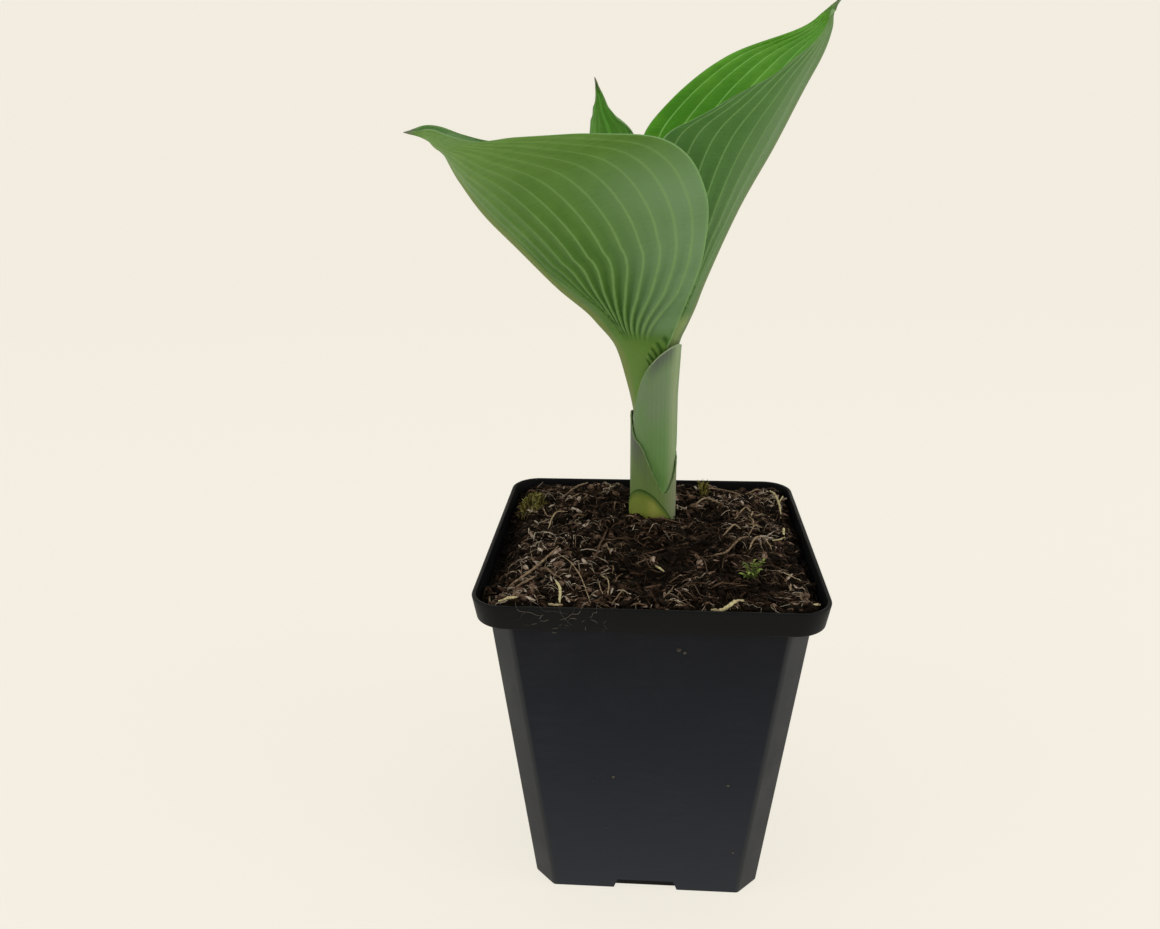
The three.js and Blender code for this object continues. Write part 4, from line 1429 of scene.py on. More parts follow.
@dataclass
class BudScale:
    """A papery scale rolled round the shoot, with a slanted mouth."""

    name: str
    node: str
    slot: str
    mouth: Sequence[float]
    radius: Callable[[Array, Array], Array]
    finish: ScaleFinish
    wall: float = 0.5
    columns: int = 120
    rows: int = 70
    ribs: int = 34
    rib_height: float = 0.05
    ribs_from: Pair = (97.0, 104.0)
    lip: float = 0.1
    lip_width: float = 0.9

    def build(self) -> None:
        """Makes the scale as a thin closed sleeve."""
        turn, share = np.meshgrid(np.linspace(0, 1, self.columns + 1), np.linspace(0, 1, self.rows + 1))
        angle = turn * FULL_TURN
        mouth = mouth_height(self.mouth, turn)
        z = mix(SHOOT.foot, mouth, share)
        below = mouth - z
        ridges = self.rib_height * np.sin(angle * self.ribs) * ease(z, *self.ribs_from)
        lip = self.lip * hill(below, 0.0, self.lip_width)
        points = SHOOT.point(self.radius(angle, z) + ridges + lip, angle, z)
        scale = grid_piece(self.name, self.columns, self.rows, points.reshape(-1, 3))
        for name, values in (("turn", turn), ("height", z), ("below_mouth", below)):
            set_attribute(scale, name, values)
        scale.data.materials.append(self.finish.material())
        weld(scale)
        apply_modifier(scale, "SOLIDIFY", thickness=self.wall * MM, offset=-1.0, use_rim=True)
        smooth(scale)
        present(scale, self.slot, self.node)


def mouth_height(heights: Sequence[float], turn: Array) -> Array:
    """A mouth's height at each turn round the shoot, from heights at equal steps."""
    return smooth_curve(np.array(heights, float)[:, None], turn, closed=True)[..., 0]


LOWER_MOUTH = (116.5, 120, 122.5, 124.5, 126, 130, 130, 124.5, 121.5, 113.4, 107.5, 111.5)


def upper_radius(angle: Array, z: Array) -> Array:
    """The upper scale is slim inside the lower one, swells where it leaves it, and flares at its top."""
    slim, swell, flare = 6.15, 0.55, 0.65
    above = z - mouth_height(LOWER_MOUTH, np.mod(angle / FULL_TURN, 1.0))
    return slim + swell * ease(above, 0.4, 6.0) + flare * ease(z, 134.0, 151.0)


def bud_scales() -> list[BudScale]:
    """The three scales, from the inside out."""
    return [
        BudScale(
            name="scale_upper", node="sheath_upper", slot="sheath",
            mouth=(150.4, 149.2, 147.6, 145, 140, 131, 124.5, 131.5, 142, 147.6, 150.5, 151.4),
            radius=upper_radius, finish=UPPER_SCALE, rows=110,
        ),
        BudScale(
            name="scale_lower", node="sheath_lower", slot="sheath", mouth=LOWER_MOUTH,
            radius=lambda angle, z: np.full(z.shape, 6.78),
            finish=LOWER_SCALE, wall=0.4,
        ),
        BudScale(
            name="scale_base", node="sheath_base", slot="base_scale",
            mouth=(95, 95, 95, 95.5, 96.5, 98.5, 102.5, 107, 108.8, 107.2, 102.8, 97.6),
            radius=lambda angle, z: np.full(z.shape, 7.12),
            finish=BASE_SCALE, wall=0.26, lip=0.0, rib_height=0.03, rows=40,
        ),
    ]


# ---------------------------------------------------------------- soil


def pebble() -> Shape:
    """A round lump of radius 1 as vertices and three-cornered faces."""
    deselect_all()
    bpy.ops.mesh.primitive_ico_sphere_add(subdivisions=1, radius=1.0)
    return taken(bpy.context.active_object)


def flake() -> Shape:
    """A splinter of bark, 1 long, as vertices and faces, modelled from a cube."""
    deselect_all()
    bpy.ops.mesh.primitive_cube_add(size=1.0)
    splinter = bpy.context.active_object
    with editing(splinter):
        bpy.ops.mesh.subdivide(number_cuts=1)
    vertices, faces = taken(splinter)
    ends = np.abs(vertices[:, 0]) * 2
    vertices[:, 1] *= mix(1.0, 0.55, ends)
    vertices[:, 2] *= mix(1.0, 0.5, ends)
    return vertices, faces


def tilted(tilt: float, spin: float, roll: float) -> Array:
    """The matrix that rolls, tilts and then spins a shape about the upright axis."""
    return np.array(
        Matrix.Rotation(spin, 3, "Z") @ Matrix.Rotation(tilt, 3, "Y") @ Matrix.Rotation(roll, 3, "X")
    )


@dataclass
class Soil:
    """The peat bed with its crumbs, bark, fibres, straws and roots."""

    pot: Pot
    level: float = 97.0
    mound: float = 1.7
    gap: float = 0.35
    wall_room: float = 0.8
    # The walls' cut corners leave less room than the collar's round ones.
    corner_room: float = 1.15
    corner: float = 7.0
    lowest: float = 93.2
    # How far the soil has sunk at the left, right, back and front wall, and over what width.
    dips: tuple[Pair, ...] = ((3.9, 8.0), (2.6, 5.0), (2.4, 5.0), (0.5, 2.0))
    cells: int = 210
    crumbs: int = 2700
    flakes: int = 1250
    fibres: int = 4000
    straws: int = 36
    # How far from the shoot's axis the crumbs, the fibres and the straws begin.
    shoot_room: float = 8.4
    fibre_room: float = 8.2
    straw_room: float = 8.6
    loose_hairs: int = 16
    # By how much of its size a bit's corners are moved at random.
    rough: float = 0.25
    # The least and the most of each kind's size, and what is added for the few longest.
    crumb_size: Pair = (0.3, 1.2)
    flake_length: Pair = (0.9, 2.6)
    long_flake: float = 2.4
    fibre_length: Pair = (1.2, 5.5)
    long_fibre: float = 8.0
    fibre_radius: Pair = (0.045, 0.165)
    straw_length: Pair = (4.0, 10.0)
    straw_radius: Pair = (0.12, 0.28)
    # Between which places along X the loose hair roots stick to the collar's front.
    hair_span: Pair = (-34.0, -9.0)
    path_steps: int = 6
    seed: int = 11
    # The heap in front of the shoot: its middle, reach and height.
    heap: tuple[float, float, float, float] = (-1.0, 6.4, 5.4, 2.9)
    noise: ValueNoise = field(default_factory=lambda: ValueNoise(5))

    @property
    def half(self) -> float:
        """Half the width of the soil inside the collar."""
        return self.pot.collar_half(self.level) - self.pot.collar_wall - self.wall_room

    def height(self, x: Array, y: Array) -> Array:
        """The lie of the soil, in millimetres: a low mound with clods, sunk at the walls."""
        spread = np.hypot(x, y) / (self.pot.rim_width / 2)
        waves = np.sin(x * 0.33 + 1) * np.cos(y * 0.29) + 0.6 * np.sin(x * 0.71 - y * 0.53 + 2)
        plain = self.level + self.mound * (1 - np.minimum(spread, 1) ** 2) + 0.5 * waves
        grains = 0.4 * self.noise.layered(x / 1.7, y / 1.7, 3)
        heap_x, heap_y, reach, rise = self.heap
        heap = rise * hill(np.hypot(x - heap_x, y - heap_y), 0.0, reach)
        return np.maximum(plain + self.clods(x, y) + grains + heap - self.sunk(x, y), self.lowest)

    def clods(self, x: Array, y: Array) -> Array:
        """How high the larger clods stand at each place."""
        return 1.1 * self.noise.layered(x / 6.0, y / 6.0, 2)

    def sunk(self, x: Array, y: Array) -> Array:
        """How far the soil has sunk at each place near a wall."""
        rooms = (self.half + x, self.half - x, self.half - y, self.half + y)
        depths = [depth * (1 - ease(room, 0.0, reach)) for room, (depth, reach) in zip(rooms, self.dips)]
        return np.maximum.reduce(depths)

    def height_at(self, x: float, y: float) -> float:
        """The height of the soil at one place."""
        return float(self.height(np.array(x), np.array(y)))

    def squared(self, a: Array, b: Array, half: float) -> tuple[Array, Array]:
        """Moves places in the square from -1 to 1 into the collar's round-cornered outline."""
        most = np.maximum(np.abs(a), np.abs(b))
        share = np.minimum(np.abs(a), np.abs(b)) / np.maximum(most, 1e-9)
        straight = 1 - self.corner / half
        turn = np.clip((share - straight) / (1 - straight), 0, 1) * math.pi / 4
        middle = half - self.corner
        longer = most * (middle + self.corner * np.cos(turn))
        shorter = most * np.where(share < straight, share * half, middle + self.corner * np.sin(turn))
        wide = np.abs(a) >= np.abs(b)
        x, y = np.where(wide, longer, shorter), np.where(wide, shorter, longer)
        return np.copysign(x, a), np.copysign(y, b)

    def build_bed(self) -> None:
        """Makes the peat bed, from its rough top over the pot's inner step down to the floor."""
        a, b = np.meshgrid(np.linspace(-1, 1, self.cells + 1), np.linspace(-1, 1, self.cells + 1))
        x, y = self.squared(a, b, self.half)
        z = self.height(x, y)
        bed = grid_piece("peat_bed", self.cells, self.cells, np.stack([x, y, z], axis=-1).reshape(-1, 3))
        pot = self.pot
        step = pot.ledge_top + self.gap
        floor = pot.floor_top + self.gap
        inset = pot.wall + self.gap + self.corner_room
        halves = (
            (step, pot.collar_half(step) - pot.collar_wall - self.gap),
            (step, pot.wall_half(step) - inset),
            (floor, pot.wall_half(floor) - inset),
        )
        before = self.half
        with editing(bed):
            bpy.ops.mesh.select_all(action="DESELECT")
            bpy.ops.mesh.select_mode(type="EDGE")
            bpy.ops.mesh.select_non_manifold()
            for z, half in halves:
                bpy.ops.mesh.extrude_region_move()
                share = half / before
                bpy.ops.transform.resize(value=(share, share, 0.0), center_override=(0, 0, z * MM))
                before = half
            bpy.ops.mesh.edge_face_add()
            bpy.ops.mesh.select_mode(type="VERT")
        bed.data.materials.append(PEAT.material())
        smooth(bed)
        present(bed, "potting_soil", "soil")

    def scatter_spot(self, rng: np.random.Generator, room: float) -> Pair:
        """A random place on the soil, clear of the shoot."""
        while True:
            x, y = self.squared(*rng.uniform(-1, 1, 2), self.half - room)
            if math.hypot(x - SHOOT.x, y - SHOOT.y) > self.shoot_room:
                return float(x), float(y)

    def paleness(self, x: float, y: float) -> float:
        """How much paler or darker the debris is at a place, with painted light and shade from the lie of the
        soil.
        """
        spot = (np.array(x), np.array(y))
        # Painted light on the clods' tops and painted shade in the hollows and where the soil sinks by the
        # walls; the patches below are the debris's own.
        total = 0.3 * float(self.clods(*spot)) - 0.28 * float(self.sunk(*spot))
        for patch_x, patch_y, reach, amount in PATCHES:
            total += amount * math.exp(-((x - patch_x) ** 2 + (y - patch_y) ** 2) / reach**2)
        return total

    def tone(self, rng: np.random.Generator, x: float, y: float, power: float) -> float:
        """A random tone that suits its place, darker for a higher power."""
        return float(np.clip(rng.random() ** power * (1 + self.paleness(x, y)), 0.0, 1.0))

    def build_crumbs(self) -> None:
        """Makes the crumbs of peat."""
        rng = np.random.default_rng(self.seed)
        batch = Batch("peat_crumbs")
        vertices, faces = pebble()
        for _ in range(self.crumbs):
            x, y = self.scatter_spot(rng, 0.4)
            size = mix(*self.crumb_size, rng.random() ** 3)
            stretch = rng.uniform(0.5, 1.5, 3) * (1.3, 0.9, 0.7)
            lumpy = vertices * (1 + rng.uniform(-self.rough, self.rough, (len(vertices), 1)))
            turn = tilted(*rng.uniform(-0.6, 0.6, 2), rng.random() * FULL_TURN)
            spot = (x, y, self.height_at(x, y) + 0.25 * size)
            batch.add((lumpy * size * stretch) @ turn.T + spot, faces, self.tone(rng, x, y, 1.8))
        batch.present(CRUMBS.material(), "potting_soil")

    def build_flakes(self) -> None:
        """Makes the flakes and splinters of bark."""
        rng = np.random.default_rng(self.seed + 1)
        batch = Batch("bark_flakes")
        vertices, faces = flake()
        for _ in range(self.flakes):
            x, y = self.scatter_spot(rng, 1.2)
            length = rng.uniform(*self.flake_length) + self.long_flake * rng.random() ** 5
            size = (length, length * rng.uniform(0.15, 0.5), rng.uniform(0.15, 0.45))
            ragged = vertices * (1 + rng.uniform(-self.rough, self.rough, (len(vertices), 1)))
            turn = tilted(rng.normal(0, 0.35), rng.random() * FULL_TURN, rng.normal(0, 0.5))
            spot = (x, y, self.height_at(x, y) + rng.uniform(0.3, 0.8))
            batch.add((ragged * size) @ turn.T + spot, faces, self.tone(rng, x, y, 1.5))
        batch.present(BARK.material(), "potting_soil")

    def random_path(self, rng: np.random.Generator, length: float, curl: float, lift: float) -> Array:
        """A curved path of a length, draped over the soil and kept inside the pot."""
        steps = self.path_steps
        x, y = self.scatter_spot(rng, 1.0)
        heading = rng.random() * FULL_TURN
        bend = rng.normal(0, curl, steps).cumsum() * 0.5 + rng.normal(0, curl)
        angles = heading + np.linspace(-0.5, 0.5, steps) * bend
        limit = self.half - 0.3
        xs = np.clip(x + np.cumsum(np.cos(angles)) * length / steps, -limit, limit)
        ys = np.clip(y + np.cumsum(np.sin(angles)) * length / steps, -limit, limit)
        arch = lift * np.sin(np.linspace(0, math.pi, steps)) * rng.random() + rng.uniform(0.05, 0.5)
        return np.stack([xs, ys, self.height(xs, ys) + arch], axis=-1)

    def clear_of_shoot(self, path: Array, room: float) -> bool:
        """Whether a path keeps clear of the shoot."""
        return bool(np.hypot(path[:, 0] - SHOOT.x, path[:, 1] - SHOOT.y).min() > room)

    def build_fibres(self) -> None:
        """Makes the fine fibres that mat the soil."""
        rng = np.random.default_rng(self.seed + 2)
        batch = Batch("peat_fibres")
        for _ in range(self.fibres):
            length = rng.uniform(*self.fibre_length) + self.long_fibre * rng.random() ** 5
            path = self.random_path(rng, length, 0.28, 0.8)
            radius = mix(*self.fibre_radius, rng.random() ** 3)
            tone = self.tone(rng, path[2, 0], path[2, 1], 1.5)
            if self.clear_of_shoot(path, self.fibre_room):
                batch.add(*strand(path, radius), tone)
        batch.present(FIBRES.material(), "potting_soil")

    def build_straws(self) -> None:
        """Makes the straws, twigs and bits of root that show one by one, and a few like them."""
        rng = np.random.default_rng(self.seed + 3)
        batch = Batch("straws_and_twigs")
        for points, radius, tone in STRAWS:
            knots = np.array(points, float)
            knots[:, 2] += self.height(knots[:, 0], knots[:, 1])
            path = smooth_curve(knots, np.linspace(0, 1, 20))
            path += np.cumsum(rng.normal(0, 0.06, (20, 3)), axis=0)
            batch.add(*strand(path, 0.8 * radius, 6, 0.5, 0.2), tone)
        for _ in range(self.straws):
            path = self.random_path(rng, rng.uniform(*self.straw_length), 0.35, 1.0) + (0, 0, 0.4)
            radius = rng.uniform(*self.straw_radius)
            tone = 0.1 + 0.5 * self.tone(rng, path[2, 0], path[2, 1], 1.0)
            if self.clear_of_shoot(path, self.straw_room):
                batch.add(*strand(path, radius, 6, 0.6, 0.2), tone)
        batch.present(STRAW.material(), "potting_soil")

    def build_rim_roots(self) -> None:
        """Makes the hair roots that hang over the front of the collar."""
        rng = np.random.default_rng(self.seed + 4)
        batch = Batch("hair_roots")
        face = -self.pot.rim_width / 2
        top = self.pot.height
        for start, reach, drop in HAIR_ROOTS:
            xs = start + reach * np.array([0.0, 0.05, 0.2, 0.5, 0.8, 1.0])
            ys = face + np.array([3.4, 0.9, -0.1, 0.0, 0.12, 0.3]) - 0.12
            zs = top + np.array([0.2, 0.22, -0.7, -0.45 * drop, -0.85 * drop, -drop])
            knots = np.stack([xs, ys, zs], axis=-1) + rng.normal(0, 0.16, (6, 3)) * (1, 0.2, 1)
            path = smooth_curve(knots, np.linspace(0, 1, 26))
            batch.add(*strand(path, rng.uniform(0.04, 0.07)), rng.random())
        for _ in range(self.loose_hairs):
            x = rng.uniform(*self.hair_span)
            z = top - rng.uniform(1.6, 7.5)
            lean = rng.normal(0.0, 0.6)
            reach = np.linspace(-0.5, 0.5, 5) * rng.uniform(0.8, 2.6)
            zs = z + reach * math.sin(lean) + rng.normal(0, 0.12, 5)
            ys = -self.pot.collar_half(z) - 0.05 + 0 * reach
            batch.add(*strand(np.stack([x + reach * math.cos(lean), ys, zs], axis=-1), 0.07), rng.random())
        batch.present(HAIRS.material(), "potting_soil")

    def build(self) -> None:
        """Makes the bed and all that lies on it."""
        self.build_bed()
        self.build_crumbs()
        self.build_flakes()
        self.build_fibres()
        self.build_straws()
        self.build_rim_roots()


# Round patches where straw, bark and roots lie thick, or where the wet peat is bare: each one's
# middle, its reach, and how much paler (above 0) or darker (below 0) the debris is.
PATCHES = (
    (-31, -25, 11, 0.7), (-37, -40, 7, 0.8), (-20, -42, 8, 0.5), (-36, 25, 9, 0.6), (-25, 1, 9, 0.4),
    (-13, -12, 6, 0.3), (31, 4, 8, 0.8), (37, -3, 6, 0.5), (36, 31, 8, 0.7), (18, 24, 7, 0.2),
    (19, -42, 7, 0.5), (39, -31, 6, 0.6), (2, -41, 8, 0.3), (8, -12, 14, -0.45), (27, -31, 8, -0.6),
    (-29, -36, 5, -0.7), (-41, -2, 6, -0.7), (-10, 17, 8, -0.5), (21, 11, 6, -0.6), (36, -13, 7, -0.5),
    (2, 40, 12, -0.5),
)

# Straws, twigs and roots: points with their height above the soil, the radius and the tone.
STRAWS = (
    (((-36, -31.4, 0.7), (-31, -25.4, 1.7), (-25, -12.7, 1.6)), 0.42, 0.62),
    (((-34.6, -34.2, 0.6), (-31.5, -30.1, 1.4), (-29.7, -27.7, 1.2)), 0.42, 0.5),
    (((-27.8, -23.5, 1.2), (-25.2, -27.5, 1.5), (-22.8, -30.8, 0.9)), 0.36, 0.5),
    (((-25.4, -15.3, 1.5), (-20.7, -25.5, 2), (-17.2, -32.7, 1.9), (-14.5, -42.4, 1.2)), 0.17, 0.72),
    (((-24, -32, 1), (-22.4, -37.9, 1.7), (-22.5, -42.4, 1.6)), 0.45, 0.97),
    (((-33.1, -12.5, 0.8), (-31.1, -20.6, 1.2)), 0.16, 0.55),
    (((-34.7, -34.7, 0.8), (-32.8, -41.6, 1)), 0.15, 0.45),
    (((-37.4, -41.9, 1), (-34.9, -42.4, 1.4), (-33.2, -41.6, 1.1)), 0.42, 0.95),
    (((-24.9, -41.8, 1.2), (-23.5, -42.4, 1.4), (-21.2, -42.5, 1.2)), 0.4, 0.85),
    (((-29.7, 2.1, 0.8), (-27.9, 10.3, 1.3), (-24.5, 13.6, 1)), 0.28, 0.76),
    (((-33.7, 19.5, 0.8), (-31.3, 14, 1.3), (-29.2, 11.8, 0.8)), 0.2, 0.68),
    (((-28.5, 27.2, 0.8), (-25, 34.3, 1.5), (-20.6, 41.2, 2)), 0.38, 0.56),
    (((-24.3, 25.7, 0.8), (-22.1, 34.4, 1.4)), 0.26, 0.64),
    (((-12.3, 3.6, 0.7), (-13.4, -8.2, 1.2), (-14.5, -17.9, 1.2), (-18.4, -30.6, 0.8)), 0.4, 0.3),
    (((-12.9, -28, 1), (-10.9, -31.3, 1.9), (-11.1, -37.3, 1)), 0.2, 0.8),
    (((-12.9, -32, 0.9), (-11.9, -37.4, 1.2)), 0.18, 0.7),
    (((-6, -33.3, 0.9), (-9.2, -40.4, 1.2)), 0.24, 0.56),
    (((17, -16.4, 0.8), (20.8, -11.8, 1.4), (25, -7, 1.5), (28.2, 0.6, 1)), 0.42, 0.5),
    (((20.6, -1.9, 0.8), (24.2, 4.6, 1.5), (26.1, 3.3, 1)), 0.34, 0.7),
    (((27.1, -10.8, 0.8), (28.8, -7.5, 1.5), (31.3, -4.1, 1.2)), 0.34, 0.7),
    (((32, -3.4, 1.2), (33.9, -8.6, 0.8)), 0.24, 0.76),
    (((25.1, 11.3, 0.8), (28.8, 20.7, 1.6), (29.9, 16, 1.2)), 0.3, 0.7),
    (((29.9, 13, 1.2), (31.4, 19.2, 1)), 0.3, 0.76),
    (((31.3, 14.6, 1.2), (34.2, 17, 1)), 0.26, 0.66),
    (((28.5, 7, 1.3), (31.2, 5.7, 1.4)), 0.36, 0.78),
    (((28.2, 0.6, 1.1), (30.4, 7.4, 1.5), (29.6, 13, 1.2)), 0.3, 0.6),
    (((38, 0.3, 1), (38.7, 3.9, 1.2)), 0.42, 0.96),
    (((34.3, -2.6, 1), (37.6, -0.4, 1.3)), 0.3, 0.84),
    (((40, 27.7, 1), (41.4, 31.1, 1.9), (42, 34.7, 2.4)), 0.26, 0.97),
    (((38.2, 36.2, 1.6), (38.9, 29.3, 1.9), (39.5, 23.6, 1.6), (39.1, 15.7, 0.8)), 0.42, 0.9),
    (((29.8, 31.5, 0.9), (33, 32.5, 1.5), (34.9, 35.1, 1)), 0.3, 0.56),
    (((35.3, 16.3, 0.9), (37.3, 13.3, 1.1)), 0.26, 0.66),
    (((13.3, 20, 0.8), (17.2, 24.2, 1.8), (21.6, 20.4, 1)), 0.34, 0.72),
    (((17.7, 34.4, 1), (22.3, 36.3, 2), (25.9, 33, 1.5), (28.2, 30.5, 0.8)), 0.3, 0.58),
    (((32.9, -21.6, 1), (36.3, -24.9, 1.3), (38.8, -27.1, 1)), 0.16, 0.78),
    (((40.4, -6.2, 1), (42, -2.1, 1.2)), 0.17, 0.58),
    (((36.2, -27.8, 1), (35.8, -32.8, 1.1)), 0.3, 0.72),
    (((15.1, -42.2, 1.2), (17.9, -42.6, 1.5), (20.5, -41.6, 1.7), (23, -38.7, 1.6)), 0.6, 0.9),
    (((39.8, -41.6, 1), (41.6, -39.6, 1.4)), 0.32, 0.84),
    (((1.4, -22, 0.8), (3.5, -26, 1.1)), 0.34, 0.92),
    (((-2.6, -17.3, 0.8), (2.8, -12, 1.2), (11.1, -9, 0.8)), 0.26, 0.26),
    (((-8.6, 0, 0.8), (1.4, 2.7, 1.2), (10.3, 4.1, 0.8)), 0.26, 0.24),
    (((3.6, -38.7, 1), (6.2, -32.1, 1.1)), 0.22, 0.56),
    (((37.8, -32.7, 0.9), (37.2, -40.5, 1.1)), 0.3, 0.46),
    (((-41, -34.6, 0.9), (-39.5, -39.5, 1.2)), 0.26, 0.66),
)

# Hair roots over the collar: where each starts along X, how far it runs along it, and its drop.
HAIR_ROOTS = (
    (-33.0, 7.0, 2.4),
    (-29.0, -3.5, 3.8),
    (-27.5, 8.5, 1.6),
    (-22.5, 3.6, 4.6),
    (-18.0, -2.6, 5.2),
    (-16.0, -5.8, 3.2),
    (-12.5, -2.0, 2.2),
)


# ---------------------------------------------------------------- small plants and the crown


@dataclass
class Moss:
    """A patch of moss: many fine shoots that stand close together and lean outwards."""

    name: str
    node: str
    x: float
    y: float
    spread: Pair
    tall: float
    shoots: int
    seed: int

    def build(self, soil: Soil) -> None:
        """Makes the patch on the soil."""
        rng = np.random.default_rng(self.seed)
        batch = Batch(self.name)
        for _ in range(self.shoots):
            angle = rng.random() * FULL_TURN
            out = rng.random() ** 0.6
            heading = np.array([math.cos(angle), math.sin(angle)])
            foot = (self.x, self.y) + heading * out * self.spread
            ground = soil.height_at(*foot)
            rise = self.tall * (1.05 - 0.65 * out) * rng.uniform(0.6, 1.0)
            lean = heading * rng.uniform(0.1, 0.5) * rise + rng.normal(0, 0.18, 2) * rise
            knots = np.array([
                (*foot, ground - 0.3),
                (*(foot + 0.3 * lean), ground + 0.6 * rise),
                (*(foot + lean), ground + rise),
            ])
            path = smooth_curve(knots, np.linspace(0, 1, 5))
            batch.add(*strand(path, rng.uniform(0.1, 0.2), 4, 0.3), rng.random() ** 1.3)
        batch.present(MOSS.material(), "moss", self.node)


def moss_patches() -> list[Moss]:
    """The low patch by the left wall and the taller tuft at the back."""
    return [
        Moss("moss_left_tuft", "moss_left", -37.0, 22.0, (4.4, 7.0), 3.6, 340, 31),
        Moss("moss_back_tuft", "moss_back", 16.8, 33.0, (1.3, 2.0), 4.6, 90, 37),
    ]


@dataclass
class Weed:
    """A small weed: thin stems with feathery pairs of oval leaflets."""

    name: str = "weed_seedling"
    node: str = "weed_sprig"
    x: float = 26.5
    y: float = -25.5
    # Each stem's lean to the right and to the back, and its height.
    stems: tuple[Point, ...] = (
        (2.8, 2.4, 4.4), (0.6, 2.2, 4.0), (-1.6, 1.2, 3.8),
        (1.6, -0.4, 3.0), (-0.6, -1.0, 2.6), (-2.4, -0.8, 1.8),
    )
    pairs: int = 5
    length: float = 1.5
    width: float = 0.75
    seed: int = 23

    def blade(self) -> Shape:
        """One oval leaf, 1 long and 1 wide, as a thin closed body modelled from a grid."""
        columns, rows = 4, 6
        a, b = np.meshgrid(np.linspace(-0.5, 0.5, columns + 1), np.linspace(0, 1, rows + 1))
        half = np.sin(np.clip(b * 1.04 + 0.02, 0, 1) ** 0.8 * math.pi) ** 0.75 + 0.04
        points = np.stack([b, a * half, 0.35 * np.abs(a) * half - 0.28 * b**2], axis=-1)
        leaf = grid_piece("weed_leaf", columns, rows, points.reshape(-1, 3) / MM)
        apply_modifier(leaf, "SOLIDIFY", thickness=0.07, offset=0.0)
        return taken(leaf)

    def build(self, soil: Soil) -> None:
        """Makes the weed on the soil."""
        rng = np.random.default_rng(self.seed)
        batch = Batch(self.name)
        vertices, faces = self.blade()
        foot = np.array([self.x, self.y, soil.height_at(self.x, self.y) - 0.4])
        for lean_x, lean_y, rise in self.stems:
            end = foot + (lean_x, lean_y, rise + 0.4)
            middle = mix(foot, end, 0.5) + (0, 0, 0.12 * rise)
            path = smooth_curve(np.array([foot, middle, end]), np.linspace(0, 1, 8))
            batch.add(*strand(path, 0.13, 4, 0.7), 0.3)
            heading = math.atan2(lean_y, lean_x)
            for place in np.linspace(0.35, 1.0, self.pairs):
                spot = smooth_curve(np.array([foot, middle, end]), np.array(place))
                turns = (0.0,) if place == 1.0 else (1.15, -1.15)
                for turn in turns:
                    size = rng.uniform(0.7, 1.0) * mix(0.7, 1.0, place)
                    shape = vertices * (self.length * size, self.width * size, self.length * size)
                    turned = tilted(-rng.uniform(0.1, 0.7), heading + turn, rng.normal(0, 0.3))
                    tone = mix(0.2, 0.85, place) * rng.uniform(0.7, 1.15)
                    batch.add(shape @ turned.T + spot, faces, tone)
        batch.present(WEED.material(), "weed", self.node)


def dress_crown() -> None:
    """Gives the buried crown its root finish. The solid itself stays as it is."""
    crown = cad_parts["crown"]
    crown.data.materials.clear()
    crown.data.materials.append(ROOT_FLESH.material())
    log.info("crown: kept, root finish")


# ---------------------------------------------------------------- studio


@dataclass
class Softbox:
    """A soft square lamp that faces a point."""

    name: str
    place: Point
    target: Point
    size: float
    watts: float
    colour: tuple[float, float, float] = (1.0, 1.0, 1.0)

    def build(self) -> None:
        """Makes the lamp."""
        lamp = bpy.data.lights.new(self.name, "AREA")
        lamp.shape = "SQUARE"
        lamp.size = self.size
        lamp.energy = self.watts
        lamp.color = self.colour
        holder = bpy.data.objects.new(self.name, lamp)
        holder.location = self.place
        heading = Vector(self.target) - Vector(self.place)
        holder.rotation_euler = heading.to_track_quat("-Z", "Y").to_euler()
        bpy.context.scene.collection.objects.link(holder)


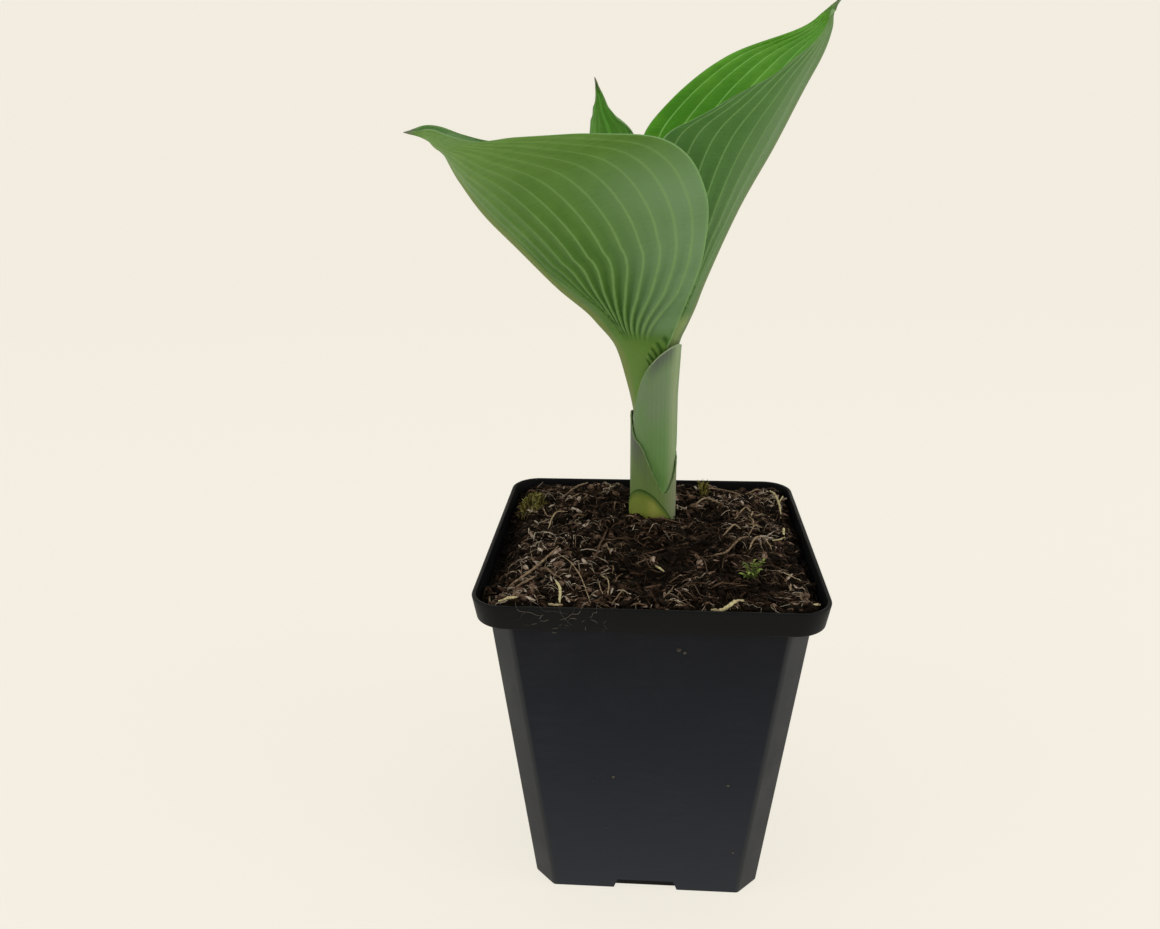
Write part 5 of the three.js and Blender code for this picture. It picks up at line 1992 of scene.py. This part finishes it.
@dataclass
class Studio:
    """The pale floor and wall in one sweep, the lamps and the camera."""

    # The camera's place in millimetres, its turns in radians and its lens.
    camera_place: Point = (-0.44, -247.32, 208.94)
    yaw: float = -0.0786
    pitch: float = 0.3471
    roll: float = -0.0128
    lens: float = 29.12
    sensor_width: float = 36.0
    inner_radius: float = 0.02
    floor_radius: float = 1.1
    wall_radius: float = 1.9
    wall_height: float = 1.5
    sweep_sides: int = 64
    sky: Colour = (242, 240, 236)
    sky_strength: float = 0.35

    def build_sweep(self) -> None:
        """Makes a round floor that curves up into a wall all round."""
        bend = self.wall_radius - self.floor_radius
        angles = np.linspace(0, math.pi / 2, 9)
        profile = [(self.inner_radius, 0.0), (0.4, 0.0), (self.floor_radius, 0.0)]
        profile += [(self.floor_radius + bend * math.sin(a), bend * (1 - math.cos(a))) for a in angles[1:]]
        profile.append((self.wall_radius, self.wall_height))
        turn = np.linspace(0, FULL_TURN, self.sweep_sides + 1)
        rings = [np.stack([r * np.cos(turn), r * np.sin(turn), z + 0 * turn], axis=-1) for r, z in profile]
        sweep = grid_piece("studio_sweep", self.sweep_sides, len(profile) - 1, np.vstack(rings) / MM)
        for vertex in sweep.data.vertices:
            if vertex.co.xy.length < 1.5 * self.inner_radius:
                vertex.co.xy = (0.0, 0.0)
        with editing(sweep):
            bpy.ops.mesh.remove_doubles(threshold=1e-5)
            bpy.ops.mesh.normals_make_consistent(inside=True)
        sweep.data.materials.append(STUDIO_PAPER.material())
        smooth(sweep)

    def build_camera(self) -> None:
        """Makes the camera at the photograph's place, looking down on the pot."""
        forward = Vector((
            math.sin(self.yaw) * math.cos(self.pitch),
            math.cos(self.yaw) * math.cos(self.pitch),
            -math.sin(self.pitch),
        ))
        level = Vector((math.cos(self.yaw), -math.sin(self.yaw), 0.0))
        upright = level.cross(forward)
        right = math.cos(self.roll) * level + math.sin(self.roll) * upright
        up = math.cos(self.roll) * upright - math.sin(self.roll) * level
        lens = bpy.data.cameras.new("camera")
        lens.lens = self.lens
        lens.sensor_width = self.sensor_width
        lens.clip_start = 0.01
        camera = bpy.data.objects.new("camera", lens)
        turn = Matrix((right, up, -forward)).transposed().to_4x4()
        camera.matrix_world = Matrix.Translation(Vector(self.camera_place) * MM) @ turn
        bpy.context.scene.collection.objects.link(camera)
        bpy.context.scene.camera = camera

    def build(self) -> None:
        """Makes the sweep, the lamps, the sky and the camera."""
        scene = bpy.context.scene
        scene.view_settings.view_transform = "Standard"
        world = bpy.data.worlds.new("studio")
        world.use_nodes = True
        sky = world.node_tree.nodes["Background"].inputs
        sky["Color"].default_value = linear(self.sky)
        sky["Strength"].default_value = self.sky_strength
        scene.world = world
        for lamp in (
            Softbox("key_left", (-0.95, -0.45, 0.75), (0, 0, 0.12), 0.6, 2.4),
            Softbox("key_right", (0.95, -0.3, 0.6), (0, 0, 0.1), 0.6, 3.2),
            Softbox("top", (0.0, 0.1, 1.3), (0, 0, 0.1), 0.9, 3.0),
        ):
            lamp.build()
        self.build_sweep()
        self.build_camera()


# ---------------------------------------------------------------- the whole plant


def main() -> None:
    """Builds the studio, the pot, the soil and the plant."""
    logging.basicConfig(level=logging.INFO, format="%(name)s: %(message)s")
    Studio().build()
    low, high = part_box("pot")
    pot = Pot(rim_width=(high.x - low.x) / MM, height=(high.z - low.z) / MM)
    pot.build()
    pot.build_specks()
    soil = Soil(pot)
    soil.build()
    for leaf in (left_leaf(), right_leaf(), inner_leaf()):
        leaf.build()
    for scale in bud_scales():
        scale.build()
    for patch in moss_patches():
        patch.build(soil)
    Weed().build(soil)
    dress_crown()


if __name__ == "__main__":
    main()
